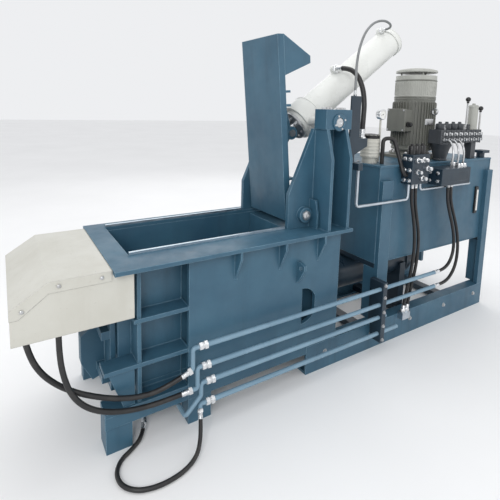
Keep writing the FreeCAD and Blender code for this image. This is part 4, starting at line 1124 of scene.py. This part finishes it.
@dataclass
class Tank:
    """Oil tank with its lid flange, cover, sight gauge, arch tube, manifold and filter.

    Pairs measured from the tank's right or rear side are the far one and the near one. A valve's
    place is its distance along the manifold and its height.
    """

    lip_proud: float = 0.008
    lip_wide: float = 0.020
    lip_down: float = 0.010
    lip_up: float = 0.003
    cover_x: tuple[float, float] = (0.34, 0.08)
    cover_y: tuple[float, float] = (0.30, 0.06)
    cover_thickness: float = 0.010
    cover_bolt: tuple[float, float] = (0.016, 0.010)
    cover_bolts_x: tuple[float, ...] = (0.32, 0.21, 0.10)
    cover_bolts_y: tuple[float, ...] = (0.28, 0.08)
    level_from_end: float = 0.17
    level_half: float = 0.018
    level_depth: float = 0.014
    level_z: tuple[float, float] = (0.80, 1.02)
    level_tube: Profile = ((0.007, 0.0), (0.007, 0.17))
    level_tube_z: float = 0.825
    level_tube_out: float = 0.016
    arch: tuple[tuple[float, float], ...] = ((0.572, -0.232), (0.572, -0.330), (0.600, -0.330))
    arch_foot: tuple[float, float] = (0.500, -0.200)
    arch_z: tuple[float, float] = (1.420, 1.180)
    arch_bend: float = 0.034
    arch_radius: float = 0.0135
    fittings_y: float = 0.168
    dial_centre: float = 0.034
    dial_out: float = 0.016
    bezel: Profile = ((0.034, -0.030), (0.0365, -0.004), (0.0365, 0.003), (0.033, 0.006),
                      (0.030, 0.006), (0.030, 0.001))
    dial: Profile = ((0.031, 0.0), (0.031, 0.0022))
    dial_sweep: float = 135.0
    ticks: int = 19
    tick: tuple[float, float] = (0.023, 0.028)
    needle: Profile = ((0.0012, -0.006), (0.0004, 0.022))
    needle_angle: float = -1.9
    hub: Profile = ((0.003, 0.0), (0.003, 0.003), (0.002, 0.004))
    filter_x: float = 0.079
    filter_radius: float = 0.0645
    filter_z: tuple[float, float] = (0.045, 0.165)
    rib_height: float = 0.0022
    rib_pitch: float = 0.024
    filter_cap: Profile = ((0.060, 0.168), (0.061, 0.172), (0.061, 0.192), (0.056, 0.198),
                           (0.030, 0.202), (0.002, 0.203))
    filter_bolt: tuple[float, float] = (0.013, 0.008)
    filter_bolt_circle: float = 0.078
    manifold_x: float = 0.212
    manifold_out: float = 0.084
    cartridge: Profile = ((1.0, 0.0), (1.0, 0.30), (0.92, 0.34), (0.70, 0.34), (0.70, 0.85),
                          (0.62, 0.92))
    cartridge_size: tuple[float, float] = (0.019, 0.046)
    cartridges: Profile = ((0.040, 1.285), (0.105, 1.285), (0.150, 1.225), (0.045, 1.205),
                           (0.100, 1.160))
    coil: Profile = ((0.024, 0.0), (0.024, 0.052), (0.021, 0.058), (0.010, 0.060),
                     (0.010, 0.070), (0.006, 0.072))
    coils: tuple[float, ...] = (0.035, 0.090, 0.145)
    coil_y: float = 0.042
    coil_z: float = 1.320
    shelf_x: float = 0.466
    shelf_z: float = 1.100
    shelf_top: float = 1.216
    shelf_plate: tuple[Point, Point] = ((0.020, -0.0002, 0.022), (0.321, 0.006, 0.094))
    shelf_plug: tuple[float, float] = (0.014, 0.03)
    plug_x: tuple[float, float, int] = (0.24, 0.31, 3)
    plug_y: tuple[float, float] = (0.03, 0.09)
    shelf_bolts_y: tuple[float, float] = (0.035, 0.095)
    shelf_bolts_z: tuple[float, float] = (1.130, 1.186)
    shelf_bolt: tuple[float, float] = (0.018, 0.012)
    manifold_bolt: tuple[float, float] = (0.020, 0.016)
    manifold_bolts_y: tuple[float, float] = (0.022, 0.062)
    manifold_bolts_z: tuple[float, float, float] = (1.145, 1.215, 1.290)

    def build(self) -> None:
        """Dress the tank group and add its fittings."""
        dress({"oil_tank": "blue_paint", "tank_fittings": "dark_paint",
               "filter_and_gauge": "cream_paint", "hose_fittings": "zinc", "steel_tubes": "zinc",
               "line_pipes": "pipe_paint", "pipe_clamp": "dark_paint"})
        self.lip()
        self.cover()
        self.seams()
        self.cover_screws()
        self.level_gauge()
        self.arch_sleeve()
        self.gauge()
        self.filter_ribs()
        self.manifold()

    def lip(self) -> None:
        """A strip round three sides of the tank's top, standing proud of its walls."""
        lo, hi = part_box("oil_tank")
        out, wide = self.lip_proud, self.lip_wide
        z0, z1 = hi.z - self.lip_down, hi.z + self.lip_up
        strips = [block((lo.x - out, lo.y - out, z0), (hi.x, lo.y + wide, z1)),
                  block((lo.x - out, hi.y - wide, z0), (hi.x, hi.y + out, z1)),
                  block((lo.x - out, lo.y + wide, z0), (lo.x + wide, hi.y - wide, z1))]
        add_piece("tank_lip", strips, "blue_paint", "frame", bevel=0.001)

    def cover(self) -> None:
        """The clean-out cover on the tank's top."""
        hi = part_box("oil_tank")[1]
        plate = block((hi.x - self.cover_x[0], hi.y - self.cover_y[0], hi.z),
                      (hi.x - self.cover_x[1], hi.y - self.cover_y[1],
                       hi.z + self.cover_thickness))
        add_piece("clean_out_cover", [plate], "blue_paint", "frame", bevel=0.003)

    def seams(self) -> None:
        """Beads along the tank's two bottom edges and its four upright ones."""
        lo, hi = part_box("oil_tank")
        inset, top = 0.001, hi.z - self.lip_down
        beads = [weld((lo.x, y, lo.z), (hi.x, y, lo.z)) for y in (lo.y, hi.y)]
        beads += [weld((x, y, lo.z), (x, y, top)) for x, y in (
            (hi.x, lo.y), (hi.x, hi.y), (lo.x, lo.y + inset), (lo.x, hi.y - inset))]
        add_piece("tank_welds", beads, "blue_paint", "frame", sharp=BEAD_SHARP)

    def cover_screws(self) -> None:
        """Bolts along two sides of the clean-out cover."""
        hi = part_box("oil_tank")[1]
        spots = np.array([(hi.x - dx, hi.y - dy, hi.z + self.cover_thickness)
                          for dx in self.cover_bolts_x for dy in self.cover_bolts_y])
        add_piece("cover_bolts", bolts(spots, Z, *self.cover_bolt), "steel", "frame")

    def level_gauge(self) -> None:
        """A sight tube for the oil's level in a dark frame on the tank's front."""
        lo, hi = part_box("oil_tank")
        x, y = hi.x - self.level_from_end, lo.y
        low, high = self.level_z
        rail = block((x - self.level_half, y - self.level_depth, low),
                     (x + self.level_half, y, high))
        add_piece("level_gauge_frame", [rail], "black_plastic", "frame", bevel=0.003)
        glass = turned(self.level_tube, (x, y - self.level_tube_out, self.level_tube_z), Z, 20)
        add_piece("level_gauge_tube", [glass], "dial_white", "frame")

    def arch_sleeve(self) -> None:
        """A black sleeve over the tube that arches from the tank's top to the manifold."""
        high, low = self.arch_z
        over, down, end = self.arch
        route = [(*self.arch_foot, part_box("oil_tank")[1].z), (*self.arch_foot, high),
                 (*over, high), (*down, low), (*end, low)]
        add_piece("arch_sleeve", [swept(rounded(route, self.arch_bend), self.arch_radius, 20)],
                  "hose_rubber", "frame")

    def gauge(self) -> None:
        """Pressure gauge: bezel, dial with ticks and a needle, facing the front."""
        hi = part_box("filter_and_gauge")[1]
        c = np.array([hi.x - self.dial_centre,
                      (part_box("oil_tank")[0].y + self.fittings_y) - self.dial_out,
                      hi.z - self.dial_centre])
        add_piece("gauge_bezel", [turned(self.bezel, c, -Y, 56)], "bright_plate", "frame")
        add_piece("gauge_dial", [turned(self.dial, c, -Y, 48)], "dial_white", "frame")
        marks = []
        face = c - Y * 0.0024
        for angle in np.radians(np.linspace(-self.dial_sweep, self.dial_sweep, self.ticks)):
            way = np.array([math.sin(angle), 0, math.cos(angle)])
            line = straight(face + way * self.tick[0], face + way * self.tick[1], 0.002)
            marks.append(swept(line, 0.0004, 4))
        way = np.array([math.sin(self.needle_angle), 0, math.cos(self.needle_angle)])
        marks.append(turned(self.needle, c - Y * 0.003, way, 5))
        marks.append(turned(self.hub, c - Y * 0.001, -Y, 16))
        add_piece("gauge_marks", marks, "black_plastic", "frame")

    def filter_ribs(self) -> None:
        """Ribbed skirt and dark knob cap on the return filter.

        The skirt's radius is its plain radius plus the rib height times the upper half of a sine
        along its height.
        """
        tank_lo, tank_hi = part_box("oil_tank")
        c = np.array([tank_lo.x + self.filter_x, tank_lo.y + self.fittings_y, tank_hi.z])
        low, high = self.filter_z
        h = np.linspace(low, high, 61)
        wave = np.clip(np.sin(2 * np.pi * (h - low) / self.rib_pitch), 0, 1)
        r = self.filter_radius + self.rib_height * wave
        add_piece("filter_ribs", [turned(np.column_stack([r, h]), c, Z, 56)], "cream_paint",
                  "frame")
        add_piece("filter_cap", [turned(self.filter_cap, c, Z, 12)], "black_plastic", "frame")
        ring = circle(c + Z * 0.001, Z, self.filter_bolt_circle, 6)
        add_piece("filter_bolts", bolts(ring, Z, *self.filter_bolt), "steel", "frame")

    def manifold(self) -> None:
        """Cartridge valves, coils, plugs and bolts on the manifold block and the valve shelf."""
        tank_lo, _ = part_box("oil_tank")
        x0 = tank_lo.x + self.manifold_x
        y0 = tank_lo.y - self.manifold_out
        steel, dark = [], []
        step = np.array(self.cartridge)
        for k, (dx, z) in enumerate(self.cartridges):
            seat = np.array([x0 + dx, y0, z])
            steel.append(turned(step * self.cartridge_size, seat, -Y, 6 if k % 2 else 28))
        for dx in self.coils:
            seat = np.array([x0 + dx, y0 + self.coil_y, self.coil_z])
            dark.append(turned(self.coil, seat, Z, 30))
        x, y, z = tank_lo.x + self.shelf_x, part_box("tank_fittings")[0].y, self.shelf_z
        low, high = self.shelf_plate
        plate = block((x + low[0], y + low[1], z + low[2]),
                      (x + high[0], y + high[1], z + high[2]))
        add_piece("valve_shelf_plate", [plate], "dark_paint", "frame", bevel=0.002)
        rows = [(x + dx, y + dy, self.shelf_top) for dx in np.linspace(*self.plug_x)
                for dy in self.plug_y]
        steel += [turned(step * self.shelf_plug, place, Z, 6) for place in rows]
        sides = np.array([(x, y + dy, height) for dy in self.shelf_bolts_y
                          for height in self.shelf_bolts_z])
        steel += bolts(sides, -X, *self.shelf_bolt)
        edge = np.array([(x0, y0 + dy, height) for dy in self.manifold_bolts_y
                         for height in self.manifold_bolts_z])
        steel += bolts(edge, -X, *self.manifold_bolt)
        add_piece("manifold_cartridges", steel, "bright_plate", "frame")
        add_piece("manifold_coils", dark, "black_plastic", "frame")


@dataclass
class Motor:
    """Upright motor: fins, cowl grille, rain cap, terminal box and bolts.

    Fin and slat outlines are pairs of distance out from the body and height.
    """

    radius: float = 0.150
    foot: float = 0.064
    fins: int = 44
    fin: Profile = ((0, 0), (0.012, 0.008), (0.014, 0.012), (0.014, 0.330), (0.012, 0.336),
                    (0, 0.344))
    fin_half: float = 0.0016
    fin_start: float = 0.03
    fin_sink: float = 0.002
    slats: int = 60
    slat: Profile = ((0, 0), (0.003, 0.002), (0.003, 0.098), (0, 0.1))
    slat_half: float = 0.0025
    slat_start: float = 0.022
    slat_sink: float = 0.001
    cowl_bands: tuple[float, ...] = (0.006, 0.132)
    body_bands: tuple[float, ...] = (0.012, 0.392)
    band_proud: float = 0.003
    band_half: tuple[float, float] = (0.006, 0.004)
    cap: Profile = ((0.151, -0.010), (0.153, -0.006), (0.150, 0.006), (0.120, 0.016),
                    (0.070, 0.023), (0.002, 0.026))
    flange_bolt: tuple[float, float] = (0.019, 0.012)
    flange_bolt_circle: float = 0.146
    flange_top: float = 0.040
    box_reach: float = 0.072
    lid_x: tuple[float, float] = (-0.008, 0.010)
    lid_y: tuple[float, float] = (-0.096, 0.066)
    lid_z: tuple[float, float] = (0.144, 0.316)
    screw: tuple[float, float] = (0.010, 0.005)
    screw_inset: float = 0.012
    gland: Profile = ((0.020, 0.0), (0.020, 0.012), (0.017, 0.014), (0.017, 0.034),
                      (0.012, 0.040))
    eye: tuple[float, float] = (0.022, 0.006)
    eye_out: float = 0.034
    eye_z: float = 0.30
    eye_stem: Profile = ((0.009, 0.0), (0.009, 0.022))
    plate_from: float = -0.95
    plate_to: float = -0.45
    plate_turn: float = 0.55
    plate_out: float = 0.0145
    plate_thickness: float = 0.001
    plate_z: float = 0.20
    plate_height: float = 0.045

    def build(self) -> None:
        """Dress the motor and add its detail."""
        dress({"motor_body": "motor_paint", "motor_cowl": "grey_paint", "motor_rotor": "steel"})
        lo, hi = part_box("motor_cowl")
        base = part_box("motor_body")[0].z
        cx, cy, body = (lo.x + hi.x) / 2, (lo.y + hi.y) / 2, base + self.foot
        centre = np.array([cx, cy, 0.0])
        fins = self.ribs(np.array([cx, cy, body + self.fin_start]), self.fins, self.fin,
                         self.fin_half, self.fin_sink)
        add_piece("motor_fins", fins, "motor_paint", "frame", sharp=25)
        r, proud = self.radius, self.band_proud
        heights = [lo.z + z for z in self.cowl_bands] + [body + z for z in self.body_bands]
        wide, flat = self.band_half
        bands = [turned([(r, z - wide), (r + proud, z - flat), (r + proud, z + flat),
                         (r, z + wide)], centre, Z, 72) for z in heights]
        add_piece("motor_bands", bands, "motor_paint", "frame")
        slats = self.ribs(centre + Z * (lo.z + self.slat_start), self.slats, self.slat,
                          self.slat_half, self.slat_sink)
        add_piece("cowl_slats", slats, "grey_paint", "frame", sharp=25)
        add_piece("rain_cap_dome", [turned(self.cap, (cx, cy, hi.z - 0.002), Z, 64)],
                  "grey_paint", "frame")
        ring = circle((cx, cy, base + self.flange_top), Z, self.flange_bolt_circle, 8, 0.4)
        add_piece("motor_bolts", bolts(ring, Z, *self.flange_bolt), "steel", "frame")
        self.terminal(cx, cy, body)

    def ribs(self, foot: Array, count: int, outline: Profile, half: float,
             sink: float) -> list[Part]:
        """Upright ribs, evenly spaced round the motor.

        Each rib's outline stands on the radius (cos a, sin a) and is carried across it.

        Args:
            foot: Point on the motor's axis level with the ribs' lower ends.
            count: How many ribs.
            outline: Distance out and height of each corner.
            half: Half a rib's thickness.
            sink: How far the ribs reach into the body.

        Returns:
            The ribs.
        """
        parts = []
        for angle in np.linspace(0, 2 * np.pi, count, endpoint=False):
            out = np.array([math.cos(angle), math.sin(angle), 0.0])
            side = np.array([-out[1], out[0], 0.0])
            start = foot + out * (self.radius - sink)
            parts.append(extruded(outline, start - side * half, out, Z, side * (2 * half)))
        return parts

    def terminal(self, cx: float, cy: float, body: float) -> None:
        """Terminal box lid with screws, a cable gland, an eye bolt and a blank plate.

        Args:
            cx: Motor axis along X.
            cy: Motor axis along Y.
            body: Height of the foot of the motor's body.
        """
        x = cx - self.radius - self.box_reach
        (x0, x1), (y0, y1), (z0, z1) = self.lid_x, self.lid_y, self.lid_z
        lid = block((x + x0, cy + y0, body + z0), (x + x1, cy + y1, body + z1))
        add_piece("terminal_lid", [lid], "motor_paint", "frame", bevel=0.004)
        inset = self.screw_inset
        spots = np.array([(x + x0, cy + dy, body + dz) for dy in (y0 + inset, y1 - inset)
                          for dz in (z0 + inset, z1 - inset)])
        add_piece("terminal_screws", bolts(spots, -X, *self.screw), "steel", "frame")
        gland = turned(self.gland, (x + 0.036, cy - 0.090, body + 0.2), -Y, 6)
        add_piece("cable_gland", [gland], "black_plastic", "frame")
        wide, bar = self.eye
        eye = circle((cx, cy - self.radius - self.eye_out, body + self.eye_z), X, wide, 40)
        loop = swept(np.vstack([eye, eye[:1]]), bar, 10)
        stem = turned(self.eye_stem, (cx, cy - self.radius + 0.004, body + self.eye_z), -Y, 16)
        add_piece("lifting_eye", [loop, stem], "steel", "frame")
        a = np.linspace(self.plate_from, self.plate_to, 12) - math.pi / 2 + self.plate_turn
        arc = np.column_stack([np.cos(a), np.sin(a)])
        r = self.radius + self.plate_out
        outer = np.array([cx, cy]) + arc * (r + self.plate_thickness)
        inner = np.array([cx, cy]) + arc[::-1] * r
        plate = extruded(np.vstack([outer, inner]), Z * (body + self.plate_z), X, Y,
                         Z * self.plate_height)
        add_piece("blank_plate", [plate], "steel", "frame")


@dataclass
class Valves:
    """Valve bank with sections, plugs, coils, jumper tubes and two levers."""

    sections: int = 8
    bank_x: float = 0.639
    bank_y: float = 0.008
    bank_z: float = 0.134
    size: Point = (0.52, 0.096, 0.096)
    plate_half: float = 0.004
    plate_top: float = 0.003
    port: Profile = ((1.0, 0.0), (1.0, 0.4), (0.86, 0.46), (0.72, 0.46), (0.72, 1.0))
    port_size: tuple[float, float] = (0.014, 0.026)
    port_heights: tuple[float, float] = (0.026, 0.068)
    relief_size: tuple[float, float] = (0.017, 0.04)
    mids: tuple[float, float] = (0.0325, 0.4875)
    jumpers: tuple[float, ...] = (0.05, 0.11, 0.17)
    jumper_lift: Point = (-0.01, -0.035, 0.03)
    jumper_radius: float = 0.007
    shelf_top: float = 1.216
    coil: Profile = ((0.029, 0.0), (0.031, 0.003), (0.031, 0.034), (0.027, 0.042),
                     (0.012, 0.046), (0.012, 0.056), (0.008, 0.058))
    coils: int = 4
    coil_first: float = 0.050
    coil_step: float = 0.084
    pilot: Profile = ((0.036, 0.0), (0.0365, 0.004), (0.0365, 0.012), (0.0345, 0.014),
                      (0.0345, 0.172), (0.0365, 0.174), (0.0365, 0.186), (0.030, 0.194),
                      (0.012, 0.196), (0.012, 0.206), (0.008, 0.208))
    pilot_x: float = 0.476
    bell: Profile = ((0.042, 0.0), (0.050, 0.004), (0.050, 0.014), (0.044, 0.018),
                     (0.060, 0.080), (0.077, 0.120), (0.080, 0.124), (0.080, 0.133))
    bell_x: float = 0.084
    stick: Profile = ((0.013, -0.010), (0.014, 0.0), (0.008, 0.014), (0.0075, 0.030),
                      (0.0065, 0.195), (0.0065, 0.205))
    knob_radius: float = 0.019
    knob_height: float = 0.210
    knob_collar: Profile = ((0.008, 0.180), (0.010, 0.184), (0.010, 0.1912))

    def build(self) -> None:
        """Dress the bank and add its detail."""
        dress({"valve_bank": "cast"})
        tank_lo, tank_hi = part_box("oil_tank")
        low = np.array([tank_lo.x + self.bank_x, tank_lo.y + self.bank_y,
                        tank_hi.z + self.bank_z])
        self.section_plates(low)
        self.ports(low)
        self.jumper_tubes(low)
        x0, y0, z0 = low
        middle, z1 = y0 + self.size[1] / 2, z0 + self.size[2]
        coils = [turned(self.coil, (x0 + self.coil_first + self.coil_step * k, middle,
                                    z1 + 0.004), Z, 32) for k in range(self.coils)]
        add_piece("valve_coils", coils, "cast", "frame")
        add_piece("pilot_cylinder_shell", [turned(self.pilot, (x0 + self.pilot_x, middle, z1), Z,
                                                  48)], "grey_paint", "frame")
        add_piece("pump_bell", [turned(self.bell, (x0 + self.bell_x, middle + 0.004,
                                                   tank_hi.z), Z, 56)], "cast", "frame")
        for number in (1, 2):
            self.lever(number)

    def section_plates(self, low: Array) -> None:
        """Thin plates between the bank's sections, proud of them all round.

        Args:
            low: The bank's lowest corner.
        """
        x0, y0, z0 = low
        length, depth, height = self.size
        t = self.plate_half
        plates = [block((x - t, y0 - t, z0 - t), (x + t, y0 + depth + t,
                                                 z0 + height + self.plate_top))
                  for x in np.linspace(x0, x0 + length, self.sections + 1)]
        add_piece("valve_section_plates", plates, "cast", "frame", bevel=0.0015)

    def ports(self, low: Array) -> None:
        """Two port plugs on each section's front and a relief cap on every second one's top.

        Args:
            low: The bank's lowest corner.
        """
        x0, y0, z0 = low
        _, depth, height = self.size
        port = np.array(self.port)
        steel, caps = [], []
        for k, x in enumerate(np.linspace(x0 + self.mids[0], x0 + self.mids[1], self.sections)):
            steel += [turned(port * self.port_size, (x, y0, z0 + dz), -Y, 6)
                      for dz in self.port_heights]
            if k % 2:
                caps.append(turned(port * self.relief_size, (x, y0 + depth / 2, z0 + height), Z,
                                   6))
        add_piece("valve_port_plugs", steel, "bright_plate", "frame")
        add_piece("valve_relief_caps", caps, "steel", "frame")

    def jumper_tubes(self, low: Array) -> None:
        """Bowed tubes from the bank's port plugs down to the valve shelf.

        Args:
            low: The bank's lowest corner.
        """
        x0, y0, z0 = low
        shelf_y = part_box("tank_fittings")[0].y
        tubes = []
        for k, dx in enumerate(self.jumpers):
            x = x0 + dx
            start = (x, y0 - self.port_size[1], z0 + self.port_heights[0])
            end = (x - 0.04 + 0.01 * k, shelf_y + 0.06, self.shelf_top)
            tubes.append(swept(bow(start, end, self.jumper_lift), self.jumper_radius, 14))
        add_piece("jumper_tubes", tubes, "steel", "frame")

    def lever(self, number: int) -> None:
        """A steel lever with a flared foot and a black ball knob.

        Args:
            number: Which lever, 1 or 2.
        """
        body = f"lever_{number}"
        pivot = np.array(joint_of(f"valve_lever_{number}_pivot")["pos_m"])
        rod = add_piece(body + "_stick", [turned(self.stick, pivot, Z, 24)], "steel", body)
        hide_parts(f"valve_lever_{number}")
        a = np.linspace(-1.45, 1.55, 22)
        ball = np.column_stack([self.knob_radius * np.cos(a),
                                self.knob_height + self.knob_radius * np.sin(a)])
        add_piece(body + "_knob", [turned(np.vstack([self.knob_collar, ball]), pivot, Z, 32)],
                  "black_plastic", body)


@dataclass
class Pipework:
    """Unions and clamp bolts on the long pipes."""

    heights: tuple[float, ...] = (0.452, 0.345, 0.258, 0.146)
    starts: tuple[float, ...] = (-0.946, -0.930, -0.905, -0.905)
    gap: float = 0.002
    out: float = 0.066
    union: Profile = ((0.014, 0.0), (0.019, 0.002), (0.019, 0.020), (0.016, 0.023),
                      (0.016, 0.027), (0.021, 0.029), (0.021, 0.047), (0.014, 0.050))
    bolt: tuple[float, float] = (0.016, 0.010)
    bolt_heights: tuple[float, ...] = (0.110, 0.205, 0.300, 0.400, 0.482)

    def build(self) -> None:
        """Add hexagon unions near each pipe's left end and bolts at the clamp."""
        lo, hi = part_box("pipe_clamp")
        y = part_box("front_skin_plate")[0].y - self.out
        nuts = [turned(self.union, (x + self.gap, y, z), X, 6)
                for z, x in zip(self.heights, self.starts)]
        add_piece("pipe_unions", nuts, "bright_plate", "frame")
        spots = np.array([((lo.x + hi.x) / 2, lo.y, z) for z in self.bolt_heights])
        add_piece("clamp_bolts", bolts(spots, -Y, *self.bolt), "steel", "frame")


def main() -> None:
    """Build the studio, the hoses and every sub-assembly."""
    logging.basicConfig(level=logging.INFO)
    studio = Studio()
    studio.camera()
    for hose in HOSES:
        hose.build()
    studio.light()
    studio.floor()
    for group in (PressBox(), Columns(), Lid(), Gate(), Ram(), Tank(), Motor(), Valves(),
                  Pipework()):
        group.build()


if __name__ == "__main__":
    main()
